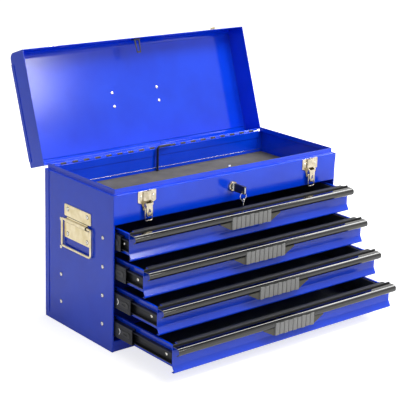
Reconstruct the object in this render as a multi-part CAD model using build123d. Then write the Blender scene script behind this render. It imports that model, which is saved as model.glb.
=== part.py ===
from build123d import *
import math
import os

os.makedirs("parts", exist_ok=True)

# Portable steel tool box: a lift-up lid over a till, and four drawers on ball slides.
# Millimetres. +X is to the right, the front faces -Y, +Z is up, and the origin is the
# centre of the underside. The lid stands open and each drawer is pulled part of its way out.

# Case
case_w = 520.0            # over the wraps of the back panel
case_d = 210.0
ledge_z = 280.0           # top of the ledge that the lid closes on
ledge_w = 6.0
collar_h = 9.0            # upstand inside the ledge
sheet = 1.0               # steel sheet of case, lid and drawers
bend = 1.6                # outer radius of a folded edge
wrap_w = 13.0             # back panel's flange round each side
wrap_z = 11.0             # where that flange starts above the ground
rear_flange = 12.0
front_lip = 3.0           # side panel's folded front edge
top_fold = 14.0           # height of wall that is folded together with the ledge
rail_h = 20.0             # front rail of the base
rail_top = 10.0
base_flange = 10.0
apron_z = 228.0           # lower edge of the front apron
apron_flange = 10.0

# Till
till_z = 236.0            # underside of the till tray
till_flange = 8.0
mat_t = 2.0
mat_gap = 1.5

# Lid
lid_h = 48.0              # from the ledge to the top of the closed lid
lid_front_r = 12.0
lid_rear_r = 3.0
lid_gap = 0.5             # between the ledge and the closed lid's rim
lid_cap = 8.0             # top panel's flange over each end panel
lid_cap_inset = 8.0       # how far that flange stops short of the rounded corners
lid_open = 109.0          # degrees

# Piano hinge
hinge_back = 2.7          # axis behind the back panel's outer face
hinge_rise = 1.0          # axis above the ledge
hinge_r = 2.5
hinge_pin_r = 1.2
hinge_fit = 0.05
leaf_t = 0.8
leaf_h = 13.0
hinge_inset = 10.0        # from the case's side to the end of the hinge
knuckle_pitch = 25.0
knuckle_gap = 0.3
knuckle_bore_sides = 6
tab_x = 12.0              # middle of the tab that presses the lock bar down
tab_w = 12.0
tab_rise = 1.7            # underside of the tab above the hinge axis, lid closed

# Drawers, numbered from the top
drawer_count = 4
drawer_pitch = 52.0
drawer_low_z = 21.8       # lower edge of the lowest drawer front
front_h = 47.7
front_gap = 0.7           # beside the drawer front
front_return = 8.0
flare_h = 12.0
flare_out = 5.0
flare_edge = 3.0
drawer_out = (40.0, 80.0, 119.0, 160.5)
pan_rise = 2.0            # underside of the pan above the front's lower edge
pan_top = 42.5            # top of the pan above the front's lower edge
pan_rear = 13.0           # from the pan's rear wall to the back panel's outer face
pan_hem = 3.0
liner_t = 1.5
liner_gap = 1.8

# Ball slides
slide_rise = 21.5         # slide's middle above the front's lower edge
slide_t = 12.7            # whole slide, across
slide_web = 1.2
slide_h = 35.0            # cabinet member
mid_h = 27.2
rail_member_h = 19.4
slide_lip = 2.2
slide_lip_in = 0.6        # cabinet member's lips, behind the drawer's side
mid_edge_in = 0.9
slide_start = 7.0         # from the case's front edge to the cabinet member
slide_back = 9.0          # from the cabinet member to the back panel's outer face
slide_hold = 14.0         # cabinet member's length beyond the travel
mid_short = 19.0          # middle member, shorter than the cabinet member
mid_in = 3.6              # from the panel to the middle member's web
mid_out = (14.0, 30.0, 44.0, 50.0)   # how far each middle member stands out of the case
rail_short = 6.0          # drawer member, shorter than the cabinet member
rail_member_reach = 6.0   # from the panel to the inner rail's flange edge
cage_in = 2.0
cage_t = 0.6
cage_len = 60.0
cage_h = 30.6
cage_flange = 7.0
cage_window = 8.0         # from the cage's end to its window

# Drawer pull
pull_drop = 2.0           # below the top of the drawer front
pull_h = 13.5
pull_out = 17.0
pull_t = 1.6
pull_r = 6.2
pull_lip = 8.0
pull_inset = 0.8
pull_web = 5.0            # height of the strip that is fixed to the drawer front
skirt_top_w = 145.0
skirt_low_w = 92.0
skirt_h = 13.0
skirt_t = 2.0
rib_count = 9
rib_out = 1.2

# Draw latches
latch_x = 190.5
latch_plate_t = 1.2
latch_top_w = 38.5
latch_wing_h = 20.0
latch_low_w = 16.0
latch_low_z = 244.5
latch_ear_in = 6.6        # inside of each ear from the latch's middle
latch_ear_t = 1.2
latch_pivot_z = 257.0
latch_pivot_out = 5.2
latch_pivot_r = 1.5
latch_pin_fit = 0.05
lever_t = 1.2
lever_play = 0.25
lever_tip_z = 231.0
bail_pivot_z = 250.0
bail_wire_r = 1.1
bail_fit = 0.1
bail_sides = 6
bail_half = 7.6
bail_low_z = 227.6
bail_corner_r = 2.6
keeper_w = 11.0
keeper_z = 291.0          # hook of the keeper, lid closed
keeper_out = 7.0
keeper_t = 1.4
keeper_h = 14.0
keeper_lip = 3.0

# Side handles
handle_z = 201.0
handle_w = 81.0
handle_h = 61.0
handle_plate_t = 1.5
handle_corner_r = 6.0
handle_notch_w = 9.0
handle_notch_h = 12.0
handle_pivot_z = 204.0
handle_barrel_r = 3.7
handle_wire_r = 2.1
handle_fit = 0.08
handle_half = 44.0
handle_drop = 50.0
handle_wire_corner = 5.0
handle_stub = 14.0
handle_rivet_y = 30.0
handle_rivet_z = 22.5

# Carrying handle on the lid, lid closed
carry_x = 53.6            # middle of each bracket
carry_y = 2.5
carry_rivet_y = 13.2
carry_pad_l = 38.0
carry_pad_w = 16.0
carry_pad_t = 1.5
carry_axis = 8.5          # above the lid
carry_eye_r = 6.0
carry_eye_t = 3.0
carry_rod_r = 3.2
carry_drop = 34.0
carry_bend_r = 8.0
carry_grip_r = 7.5
carry_grip_l = 68.0
carry_fit = 0.08
carry_stub = 5.0          # rod's end past the middle of its bracket
carry_arm_in = 8.0        # each arm, inside of its bracket

# Cylinder lock and keys
lock_z = 255.7
lock_flange_r = 9.8
lock_out = 5.0
lock_body_r = 8.0
lock_sides = 20           # flats round the lock
lock_nut_r = 11.0
lock_nut_t = 3.0
lock_back = 7.5           # from the apron's outer face to the housing's rear end
plug_r = 6.0
plug_fit = 0.06
plug_recess = 0.8
cam_gap = 1.0
cam_t = 1.5
cam_w = 9.0
tongue_w = 5.0
tongue_top = 292.6
keyway_w = 1.9
keyway_h = 7.4
key_blade_t = 1.5
key_blade_h = 6.6
key_depth = 10.0
key_neck = 4.0
key_head_l = 27.0
key_head_h = 14.0
key_head_t = 5.0
key_corner = 3.0
key_hole_r = 2.6
key_hole_in = 4.6
key_hole_down = 3.2
ring_r = 7.0
ring_play = 0.85          # under the ring in the key's hole
ring_wire_r = 0.6         # half the width of the ring's wire
spare_t = 1.2
spare_w = 7.0
spare_head_h = 7.6
spare_blade_w = 3.2
spare_low_z = 226.8
spare_hole_r = 1.7
spare_play = 0.45         # over the ring in the spare key's hole
spare_rim = 2.2
strike_z = 290.0          # underside of the strike plate, lid closed
strike_w = 14.0
strike_tip_w = 9.0
strike_len = 27.0
strike_t = 1.2
strike_flange = 11.0
strike_slot_w = 6.4

# Drawer lock bar
bar_x = -12.0
bar_back = 6.5            # from the bar's middle to the back panel's inner face
bar_r = 2.3
bar_low_z = 9.0
bar_arm = 30.0
bar_travel = 6.0          # how far the closing lid pushes it down
bar_tab_gap = 0.4         # left under the tab with the lid closed
finger_reach = 9.5
finger_t = 3.0
finger_bar = 2.0
finger_drop = 6.0
finger_clear = 1.5
bar_collar_z = 36.0
bar_collar_r = 3.9
bar_collar_t = 2.0
spring_r = 3.8
spring_bore = 2.7
bar_hole_r = 2.9

rivet_r = 3.2
rivet_h = 1.3
rivet_sides = 8
rivet_taper = 42.0        # degrees
rod_sides = 8             # flats round a bent rod
bore_sides = 12
slide_rivet_front = 30.5  # behind the case's front edge
slide_rivet_rear = 51.5   # before the back panel's outer face
screw_front = 26.0        # behind the drawer front's face
screw_r = 3.0
screw_h = 1.4
screw_rear = 50.0         # before the back panel's outer face, drawer closed

# Places that follow from the sizes above
slide_len = case_d - slide_start - slide_back
drawer_travel = slide_len - slide_hold
mid_len = slide_len - mid_short
rail_member_len = slide_len - rail_short
hinge_len = case_w - 2 * hinge_inset
front_y = -case_d / 2
back_y = case_d / 2
back_in = back_y - sheet
side_out = case_w / 2 - sheet
side_in = side_out - sheet
collar_out = side_out - ledge_w
hinge_y = back_y + hinge_back
hinge_z = ledge_z + hinge_rise
bar_y = back_in - bar_back
bar_top_z = hinge_z + tab_rise + bar_travel - bar_tab_gap
lid_top = ledge_z + lid_h
lid_rear_rim = hinge_z + hinge_rise
lid_rim = ledge_z + lid_gap
pan_half = side_in - slide_t
pan_in = pan_half - sheet
handle_x = side_out + handle_plate_t + handle_barrel_r - 1.0
latch_pivot_y = front_y - latch_plate_t - latch_pivot_out
key_hole_y = front_y - lock_out + plug_recess - key_neck - key_head_l + key_hole_in
ring_top_z = lock_z - key_hole_down - key_hole_r + ring_wire_r + ring_play
ring_low_z = ring_top_z - 2 * ring_r


def bent(points, gauge, radius=bend):
    # section of a sheet folded along points; a positive gauge lies to the left of the path
    path = FilletPolyline(*points, radius=radius) if radius else Polyline(*points)
    return make_face(offset(path, amount=abs(gauge), side=Side.LEFT if gauge > 0 else Side.RIGHT))


def outline(*points):
    return make_face(Polyline(*points, close=True))


def along_x(face, x0, x1):
    # a section drawn in Y, Z
    return extrude(Plane.YZ.offset(x0) * face, x1 - x0)


def along_y(face, y0, y1):
    # a section drawn in X, Z
    return extrude(Plane.XZ.offset(-y0) * face, y0 - y1)


def along_z(face, z0, z1):
    # a section drawn in X, Y
    return extrude(Plane.XY.offset(z0) * face, z1 - z0)


def block(x0, x1, y0, y1, z0, z1):
    return Pos((x0 + x1) / 2, (y0 + y1) / 2, (z0 + z1) / 2) * Box(x1 - x0, y1 - y0, z1 - z0)


def rod(r, length, sides):
    # a small rod can have flats in place of its curve
    if sides:
        return extrude(RegularPolygon(r, sides), length / 2, both=True)
    return Cylinder(r, length)


def bar_along_x(r, x0, x1, y, z, sides=0):
    return Pos((x0 + x1) / 2, y, z) * Rot(0, 90, 0) * rod(r, x1 - x0, sides)


def bar_along_y(r, y0, y1, x, z, sides=0):
    return Pos(x, (y0 + y1) / 2, z) * Rot(90, 0, 0) * rod(r, y1 - y0, sides)


def bar_along_z(r, z0, z1, x, y, sides=0):
    return Pos(x, y, (z0 + z1) / 2) * rod(r, z1 - z0, sides)


def around(r, sides):
    # corner radius of the polygon whose flats touch a circle of radius r
    return r / math.cos(math.pi / sides)


def bent_rod(points, radius, r, sides=rod_sides):
    # rod along points, whose first run is along X or Y
    path = FilletPolyline(*points, radius=radius)
    start = Plane(origin=points[0], z_dir=path % 0)
    return sweep(start * RegularPolygon(r, sides), path=path, transition=Transition.RIGHT)


def other_side(shape):
    return mirror(shape, Plane.YZ)


def opened(shape):
    # from the closed lid's place to the open one
    return shape.rotate(Axis((0, hinge_y, hinge_z), (1, 0, 0)), -lid_open)


def drawer_z(i):
    return drawer_low_z + (drawer_count - 1 - i) * drawer_pitch


def pulled(shape, i):
    return Pos(0, -drawer_out[i], 0) * shape


def rivet_head(r=rivet_r, h=rivet_h):
    # a low domed head, in flats, that stands on the XY plane
    return extrude(RegularPolygon(r, rivet_sides), h, taper=rivet_taper)


def save(name, *shapes):
    solids = [solid for shape in shapes for solid in shape.solids()]
    export_step(Compound(solids), f"parts/{name}.step")


# ---- Case ----

def side_panel():
    plan = bent([(side_out - rear_flange, back_in), (side_out, back_in),
                 (side_out, front_y), (side_out - front_lip, front_y)], -sheet)
    wall = along_z(plan, 0, ledge_z - top_fold)
    lip_cut = block(side_out - front_lip - 1, side_in, front_y - 1, front_y + sheet, apron_z, ledge_z)
    rim = bent([(side_out, ledge_z - top_fold), (side_out, ledge_z),
                (collar_out, ledge_z), (collar_out, ledge_z + collar_h)], sheet)
    top = along_y(rim, front_y, back_in - bend + sheet)
    corner = block(0, collar_out + 1, front_y - 1, front_y + ledge_w, ledge_z, ledge_z + 2 * collar_h)
    return wall - lip_cut + (top - corner)


def back_panel():
    plan = bent([(-case_w / 2, back_y - wrap_w), (-case_w / 2, back_y),
                 (case_w / 2, back_y), (case_w / 2, back_y - wrap_w)], -sheet)
    panel = along_z(plan, 0, ledge_z)
    foot = block(side_out, case_w, 0, case_d, -1, wrap_z)
    return panel - foot - other_side(foot)


def base_panel():
    section = bent([(back_in - sheet, base_flange), (back_in - sheet, 0), (front_y, 0),
                    (front_y, rail_h), (front_y + rail_top, rail_h)], -sheet)
    base = along_x(section, -side_in, side_in)
    notch = block(side_out - front_lip, case_w, front_y - 1, front_y + rail_top + 2, -1, rail_h + 1)
    upturn = block(side_in - sheet, side_in, front_y + rail_top + 2, back_in - 2 * sheet, 0, base_flange)
    corner = block(side_in - bend, side_out, back_in - sheet - bend, back_y, -1, base_flange + 1)
    for cut in (notch, corner):
        base = base - cut - other_side(cut)
    return base + upturn + other_side(upturn)


def front_apron():
    section = bent([(front_y + apron_flange, apron_z), (front_y, apron_z),
                    (front_y, ledge_z - bend)], -sheet)
    wall = along_x(section, -side_in, side_in)
    rim = bent([(front_y, ledge_z - top_fold), (front_y, ledge_z),
                (front_y + ledge_w, ledge_z), (front_y + ledge_w, ledge_z + collar_h)], -sheet)
    top = along_x(rim, sheet - collar_out, collar_out - sheet)
    hole = bar_along_y(lock_body_r, front_y - 1, front_y + 2 * sheet, 0, lock_z, lock_sides)
    return wall + top - hole


def till_tray():
    outer = block(-side_in, side_in, front_y + sheet, back_in - sheet, till_z, till_z + till_flange)
    outer = fillet(outer.edges().filter_by(Axis.Z), bend)
    inner = block(sheet - side_in, side_in - sheet, front_y + 2 * sheet, back_in - 2 * sheet,
                  till_z + sheet, till_z + 2 * till_flange)
    return outer - inner - bar_along_z(bar_hole_r, till_z - 1, till_z + 2, bar_x, bar_y, bore_sides)


def till_liner():
    edge = sheet + mat_gap
    mat = block(edge - side_in, side_in - edge, front_y + sheet + edge, back_in - sheet - edge,
                till_z + sheet, till_z + sheet + mat_t)
    return mat - bar_along_z(bar_hole_r + 1, till_z, till_z + 2 * mat_t, bar_x, bar_y, bore_sides)


# ---- Piano hinge ----

def knuckle_spans(start):
    count = int(hinge_len / knuckle_pitch)
    first = -count * knuckle_pitch / 2 + start * knuckle_pitch / 2
    return [(first + k * knuckle_pitch + knuckle_gap / 2,
             first + (k + 0.5) * knuckle_pitch - knuckle_gap / 2) for k in range(count - start)]


def hinge_leaf(up, own, other):
    # up is -1 for the case's leaf and +1 for the lid's
    face_z = hinge_z + up * hinge_rise
    section = bent([(hinge_y, face_z), (back_in, face_z), (back_in, face_z + up * leaf_h)],
                   up * leaf_t, 0)
    half = int(hinge_len / knuckle_pitch) * knuckle_pitch / 2
    leaf = along_x(section, -half, half)
    gaps = [block(x0 - knuckle_gap, x1 + knuckle_gap, back_y, back_y + case_d,
                  hinge_z - leaf_h / 2, hinge_z + leaf_h / 2) for x0, x1 in other]
    leaf = leaf - gaps
    tubes = [bar_along_x(hinge_r, x0, x1, hinge_y, hinge_z, rod_sides) for x0, x1 in own]
    leaf = leaf + tubes
    bore = around(hinge_pin_r + hinge_fit, knuckle_bore_sides)
    return leaf - bar_along_x(bore, -case_w, case_w, hinge_y, hinge_z, knuckle_bore_sides)


def lock_tab():
    return block(tab_x - tab_w / 2, tab_x + tab_w / 2, bar_y - bar_r + 1, back_in - leaf_t / 2,
                 hinge_z + tab_rise, hinge_z + tab_rise + leaf_t)


# ---- Lid, drawn closed ----

def lid_shell():
    section = bent([(front_y, lid_rim), (front_y, lid_top), (back_y, lid_top),
                    (back_y, lid_rear_rim)], -sheet, [lid_front_r, lid_rear_r])
    shell = along_x(section, -side_out, side_out)
    y0 = front_y + lid_front_r + lid_cap_inset
    y1 = back_y - lid_rear_r - lid_cap_inset
    cap = along_y(bent([(side_out - sheet, lid_top), (case_w / 2, lid_top),
                        (case_w / 2, lid_top - lid_cap)], -sheet, 0), y0, y1)
    return shell + cap + other_side(cap)


def lid_end():
    path = FilletPolyline((front_y + sheet, lid_rim), (front_y + sheet, lid_top - sheet),
                          (back_in, lid_top - sheet), (back_in, lid_rear_rim),
                          radius=[lid_front_r - sheet, lid_rear_r - sheet])
    rim = Polyline((back_in, lid_rear_rim), (back_in, lid_rim), (front_y + sheet, lid_rim))
    return along_x(make_face(path + rim), side_in, side_out)


def lid_keeper():
    y = front_y
    base = block(-keeper_w / 2, keeper_w / 2, y - keeper_t, y, keeper_z - 5, keeper_z - 5 + keeper_h)
    hook = bent([(y, keeper_z), (y - keeper_out, keeper_z),
                 (y - keeper_out, keeper_z + keeper_lip)], -keeper_t, 1.8)
    return base + along_x(hook, -keeper_w / 2, keeper_w / 2)


def lock_strike():
    y = front_y + sheet
    flange = block(-strike_w / 2, strike_w / 2, y, y + strike_t, strike_z, strike_z + strike_flange)
    plate = outline((-strike_w / 2, y), (strike_w / 2, y), (strike_tip_w / 2, y + strike_len),
                    (-strike_tip_w / 2, y + strike_len))
    slot = block(-strike_slot_w / 2, strike_slot_w / 2, y + 3, y + strike_len - 3,
                 strike_z - 1, strike_z + 3)
    return along_z(plate, strike_z, strike_z + strike_t) + flange - slot


def carry_bracket():
    # riveted pad with an upright eye for the handle's pivot
    z = lid_top
    pad = Rectangle(carry_pad_w, carry_pad_l)
    pad = chamfer(pad.vertices(), carry_pad_w / 4)
    pad = along_z(Pos(0, carry_y) * pad, z, z + carry_pad_t)
    t = carry_eye_t / 2
    eye = bar_along_x(carry_eye_r, -t, t, carry_y, z + carry_axis, bore_sides)
    eye += block(-t, t, carry_y - carry_eye_r, carry_y + carry_eye_r,
                 z + carry_pad_t / 2, z + carry_axis)
    bore = bar_along_x(around(carry_rod_r + carry_fit, bore_sides), -carry_eye_r, carry_eye_r,
                       carry_y, z + carry_axis, bore_sides)
    return pad + eye - bore


def carry_handle():
    # drawn lying flat towards the rear of the closed lid
    z = lid_top + carry_axis
    end = carry_x + carry_stub
    arm = carry_x - carry_arm_in
    points = [(-end, carry_y, z), (-arm, carry_y, z), (-arm, carry_y + carry_drop, z),
              (arm, carry_y + carry_drop, z), (arm, carry_y, z), (end, carry_y, z)]
    return bent_rod(points, [0, carry_bend_r, carry_bend_r, 0], carry_rod_r)


# ---- Drawers, drawn closed ----

def drawer_pan(i):
    z0 = drawer_z(i) + pan_rise
    z1 = drawer_z(i) + pan_top
    y0 = front_y + sheet
    y1 = back_y - pan_rear
    section = bent([(pan_half + pan_hem, z1), (pan_in, z1), (pan_in, z0 + sheet),
                    (-pan_in, z0 + sheet), (-pan_in, z1), (-pan_half - pan_hem, z1)],
                   sheet, [0, bend, bend, 0])
    pan = along_y(section, y0, y1)
    front = block(-pan_in, pan_in, y0, y0 + sheet, z0 + sheet, z1)
    rear = block(-pan_in, pan_in, y1 - sheet, y1, z0 + sheet, z1)
    return pan + front + rear


def drawer_front(i):
    z0 = drawer_z(i)
    z1 = z0 + front_h
    section = bent([(front_y + front_return, z1), (front_y, z1), (front_y, z0 + flare_h),
                    (front_y - flare_out, z0 + flare_edge), (front_y - flare_out, z0),
                    (front_y + sheet, z0)], sheet, [bend, 3 * bend, 2 * bend, 0.8 * bend])
    half = side_out - front_lip - front_gap
    plate = along_x(section, -half, half)
    keep = block(-case_w, case_w, front_y - case_d, front_y + sheet, z0 - 1, z1 + 1)
    mid_keep = block(-pan_in, pan_in, front_y - case_d, back_y, z0 - 1, z1 + 1)
    return plate & (keep + mid_keep)


def drawer_pull(i):
    top = drawer_z(i) + front_h - pull_drop
    nose = front_y - pull_out
    low = top - pull_h
    section = bent([(front_y, top - pull_web), (front_y, top), (nose, top), (nose, low),
                    (nose + pull_lip, low)], pull_t, [pull_t + 0.1, pull_r, pull_r])
    half = side_out - front_lip - front_gap - pull_inset
    pull = along_x(section, -half, half)
    return pull + pull_grip(nose, low)


def pull_grip(nose, low):
    # ribbed thumb grip that hangs from the pull's lip, with a tapered skirt behind it
    edge = low + pull_t / 2
    skirt = outline((-skirt_top_w / 2, edge), (skirt_top_w / 2, edge),
                    (skirt_low_w / 2, low - skirt_h), (-skirt_low_w / 2, low - skirt_h))
    grip = along_y(skirt, nose + 2 * rib_out, nose + 2 * rib_out + skirt_t + 1)
    pitch = skirt_low_w / rib_count
    for k in range(rib_count):
        x = (k + 0.5 - rib_count / 2) * pitch
        rib = outline((x - pitch / 2 + 0.4, nose + 2 * rib_out + 1), (x - pitch / 4, nose + rib_out),
                      (x + pitch / 4, nose + rib_out), (x + pitch / 2 - 0.4, nose + 2 * rib_out + 1))
        grip += along_z(rib, low - skirt_h, edge)
    return grip


def drawer_liner(i):
    z = drawer_z(i) + pan_rise + sheet
    return block(liner_gap - pan_in, pan_in - liner_gap, front_y + 2 * sheet + liner_gap,
                 back_y - pan_rear - sheet - liner_gap, z, z + liner_t)


# ---- Ball slides, drawn closed on the right-hand side ----

def channel(x_web, x_edge, height, lip, z):
    # section in X, Z of a slide member: a web, two flanges and short lips
    way = 1 if x_edge > x_web else -1
    h = height / 2
    points = [(x_edge, z + h - lip), (x_edge, z + h), (x_web, z + h),
              (x_web, z - h), (x_edge, z - h), (x_edge, z - h + lip)]
    if not lip:
        points = points[1:-1]
    return bent(points, way * slide_web, 0)


def cabinet_member(i):
    z = drawer_z(i) + slide_rise
    section = channel(side_in, side_in - slide_t + slide_lip_in, slide_h, slide_lip, z)
    y0 = front_y + slide_start
    return along_y(section, y0, y0 + slide_len)


def ball_cage(i):
    z = drawer_z(i) + slide_rise
    x = side_in - cage_in
    section = bent([(x - cage_flange, z + cage_h / 2), (x, z + cage_h / 2), (x, z - cage_h / 2),
                    (x - cage_flange, z - cage_h / 2)], -cage_t, 0)
    y0 = front_y + slide_start + 1
    cage = along_y(section, y0, y0 + cage_len)
    window = block(x - 2, x + 2, y0 + cage_window, y0 + cage_len - cage_window,
                   z - cage_h / 4, z + cage_h / 4)
    return cage - window


def middle_member(i):
    z = drawer_z(i) + slide_rise
    section = channel(side_in - mid_in, side_in - slide_t + mid_edge_in, mid_h, 0, z)
    return along_y(section, front_y - mid_out[i], front_y - mid_out[i] + mid_len)


def drawer_member(i):
    z = drawer_z(i) + slide_rise
    section = channel(side_in - slide_t, side_in - rail_member_reach, rail_member_h, 0, z)
    y0 = front_y + slide_start
    rail = along_y(section, y0, y0 + rail_member_len)
    heads = [Pos(pan_half + slide_web, y, z) * Rot(0, 90, 0) * rivet_head(screw_r, screw_h)
             for y in (front_y + screw_front, back_y - screw_rear)]
    return [rail] + heads


# ---- Fasteners of the case ----

def case_rivets():
    heads = []
    out = Rot(0, 90, 0) * rivet_head()
    for i in range(drawer_count):
        z = drawer_z(i) + slide_rise
        for y in (front_y + slide_rivet_front, back_y - slide_rivet_rear):
            heads.append(Pos(side_out, y, z) * out)
    for y in (-handle_rivet_y, handle_rivet_y):
        for dz in (-handle_rivet_z, handle_rivet_z):
            heads.append(Pos(side_out + handle_plate_t, y, handle_z + dz) * out)
    forward = Rot(90, 0, 0) * rivet_head(2.2, 1.0)
    for x in (latch_x - latch_top_w / 3, latch_x + latch_top_w / 3):
        heads.append(Pos(x, front_y - latch_plate_t, ledge_z - latch_wing_h / 2) * forward)
    return heads + [other_side(head) for head in heads]


# ---- Draw latches, drawn for the right-hand one ----

def latch_base():
    top = ledge_z - 0.6
    low = top - latch_wing_h
    w = latch_top_w / 2
    plate = outline((-w, top), (w, top), (w, low), (latch_low_w / 2, latch_low_z),
                    (-latch_low_w / 2, latch_low_z), (-w, low))
    base = along_y(plate, front_y - latch_plate_t, front_y)
    ear_face = outline((front_y, latch_pivot_z + 7), (latch_pivot_y - 2.6, latch_pivot_z + 3),
                       (latch_pivot_y - 2.6, latch_pivot_z - 3), (front_y, latch_pivot_z - 7))
    x = latch_ear_in
    base += along_x(ear_face, x, x + latch_ear_t) + along_x(ear_face, -x - latch_ear_t, -x)
    bore = bar_along_x(around(latch_pivot_r + latch_pin_fit, rod_sides), -w, w,
                       latch_pivot_y, latch_pivot_z, rod_sides)
    return base - bore


def latch_lever():
    # folded channel with its pivot pin; it hangs from the ears
    half = latch_ear_in - lever_play
    y = latch_pivot_y
    side = outline((y - 2.4, latch_pivot_z + 2.6), (y + 2.2, latch_pivot_z + 2.6),
                   (y + 2.2, bail_pivot_z - 3), (y - 1.0, lever_tip_z + 4), (y - 2.4, lever_tip_z + 4))
    lever = along_x(side, -half, half)
    hollow = block(lever_t - half, half - lever_t, y - 2.4 + lever_t, y + 9,
                   lever_tip_z, latch_pivot_z + 9)
    tongue = outline((-half, lever_tip_z + 6), (half, lever_tip_z + 6),
                     (half - 2.4, lever_tip_z), (2.4 - half, lever_tip_z))
    lip = along_y(tongue, y - 2.4, y - 2.4 + lever_t)
    pin = bar_along_x(latch_pivot_r, -latch_ear_in - latch_ear_t, latch_ear_in + latch_ear_t,
                      y, latch_pivot_z, rod_sides)
    eye = bar_along_x(around(bail_wire_r + bail_fit, bail_sides), -half - 1, half + 1,
                      y, bail_pivot_z, bail_sides)
    return lever - hollow + lip - eye + pin


def latch_bail():
    y = latch_pivot_y
    w = bail_half
    stub = latch_ear_in - lever_play - lever_t + 0.2
    points = [(stub, y, bail_pivot_z), (w, y, bail_pivot_z), (w, y, bail_low_z),
              (-w, y, bail_low_z), (-w, y, bail_pivot_z), (-stub, y, bail_pivot_z)]
    return bent_rod(points, [0, bail_corner_r, bail_corner_r, 0], bail_wire_r, bail_sides)


# ---- Side handles, drawn for the right-hand one ----

def side_handle_plate():
    plate = Pos(0, handle_z) * RectangleRounded(handle_w, handle_h, handle_corner_r)
    plate = along_x(plate, side_out, side_out + handle_plate_t)
    y = handle_w / 2 - handle_notch_w
    notch = block(side_out - 1, side_out + 9, y, handle_w, handle_pivot_z - handle_notch_h / 2,
                  handle_pivot_z + handle_notch_h / 2)
    barrel = bar_along_y(handle_barrel_r, -y, y, handle_x, handle_pivot_z, bore_sides)
    barrel -= block(0, side_out, -case_d, case_d, 0, ledge_z)
    bore = bar_along_y(around(handle_wire_r + handle_fit, bore_sides), -y - 1, y + 1,
                       handle_x, handle_pivot_z, bore_sides)
    return plate - notch - mirror(notch, Plane.XZ) + barrel - bore


def side_bail():
    x = handle_x
    y = handle_half
    inner = handle_w / 2 - handle_notch_w - handle_stub
    z0 = handle_pivot_z
    z1 = handle_pivot_z - handle_drop
    points = [(x, inner, z0), (x, y, z0), (x, y, z1), (x, -y, z1), (x, -y, z0), (x, -inner, z0)]
    return bent_rod(points, [0, handle_wire_corner, handle_wire_corner, 0], handle_wire_r)


# ---- Lock and keys ----

def lock_housing():
    body = bar_along_y(lock_body_r, front_y - 1, front_y + lock_back, 0, lock_z, lock_sides)
    flange = bar_along_y(lock_flange_r, front_y - lock_out, front_y, 0, lock_z, lock_sides)
    nut = along_y(Pos(0, lock_z) * RegularPolygon(lock_nut_r, 6),
                  front_y + sheet, front_y + sheet + lock_nut_t)
    bore = bar_along_y(around(plug_r + plug_fit, lock_sides), front_y - 2 * lock_out, front_y + 2 * lock_back,
                       0, lock_z, lock_sides)
    return flange + body + nut - bore


def lock_plug():
    y0 = front_y - lock_out + plug_recess
    y1 = front_y + lock_back + cam_gap
    plug = bar_along_y(plug_r, y0, y1, 0, lock_z, lock_sides)
    arm = outline((-cam_w / 2, lock_z - plug_r), (cam_w / 2, lock_z - plug_r),
                  (cam_w / 2, lock_z + plug_r + 2), (tongue_w / 2, lock_z + 2.4 * plug_r),
                  (tongue_w / 2, tongue_top), (-tongue_w / 2, tongue_top),
                  (-tongue_w / 2, lock_z + 2.4 * plug_r), (-cam_w / 2, lock_z + plug_r + 2))
    keyway = block(-keyway_w / 2, keyway_w / 2, y0 - 1, y0 + key_depth + 0.5,
                   lock_z - keyway_h / 2, lock_z + keyway_h / 2)
    return plug + along_y(arm, y1, y1 + cam_t) - keyway


def key():
    face = front_y - lock_out + plug_recess
    blade = block(-key_blade_t / 2, key_blade_t / 2, face - key_neck - 2, face + key_depth,
                  lock_z - key_blade_h / 2, lock_z + key_blade_h / 2)
    head = Rectangle(key_head_l, key_head_h)
    head = chamfer(head.vertices(), key_corner)
    head = along_x(Pos(face - key_neck - key_head_l / 2, lock_z) * head,
                   -key_head_t / 2, key_head_t / 2)
    hole = bar_along_x(around(key_hole_r, bore_sides), -key_head_t, key_head_t,
                       key_hole_y, lock_z - key_hole_down, bore_sides)
    return blade + head - hole


def key_ring():
    # split ring of flat wire
    ring = Pos(0, ring_top_z - ring_r) * (Circle(ring_r + ring_wire_r) - Circle(ring_r - ring_wire_r))
    return along_y(ring, key_hole_y - ring_wire_r, key_hole_y + ring_wire_r)


def spare_key():
    hole_z = ring_low_z + ring_wire_r + spare_play - spare_hole_r
    top = hole_z + spare_hole_r + spare_rim
    head = Rectangle(spare_w, spare_head_h)
    head = chamfer(head.vertices(), spare_w / 4)
    head = along_x(Pos(key_hole_y, top - spare_head_h / 2) * head, -spare_t / 2, spare_t / 2)
    blade = block(-spare_t / 2, spare_t / 2, key_hole_y - spare_blade_w / 2,
                  key_hole_y + spare_blade_w / 2, spare_low_z, top - spare_head_h + 1)
    return head + blade - bar_along_x(around(spare_hole_r, bore_sides), -spare_t, spare_t,
                                      key_hole_y, hole_z, bore_sides)


# ---- Drawer lock bar ----

def lock_bar():
    arm_end = bar_x + bar_arm
    path = FilletPolyline((bar_x, bar_y, bar_low_z), (bar_x, bar_y, bar_top_z - bar_r),
                          (arm_end, bar_y, bar_top_z - bar_r), radius=2.2 * bar_r)
    bar = sweep(Plane.XY.offset(bar_low_z) * Pos(bar_x, bar_y) * RegularPolygon(bar_r, rod_sides),
                path=path)
    bar += bar_along_z(bar_collar_r, bar_collar_z, bar_collar_z + bar_collar_t,
                       bar_x, bar_y, rivet_sides)
    for i in range(drawer_count):
        tip = drawer_z(i) + pan_top + finger_clear
        y = bar_y - finger_reach
        hook = outline((bar_y, tip + finger_drop), (bar_y, tip + finger_drop + finger_bar),
                       (y, tip + finger_drop + finger_bar), (y, tip),
                       (y + finger_bar, tip), (y + finger_bar, tip + finger_drop))
        bar += along_x(hook, bar_x - finger_t / 2, bar_x + finger_t / 2)
    return bar


def lock_bar_spring():
    tube = bar_along_z(spring_r, sheet, bar_collar_z, bar_x, bar_y)
    return tube - bar_along_z(spring_bore, 0, bar_collar_z + 1, bar_x, bar_y)


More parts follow.
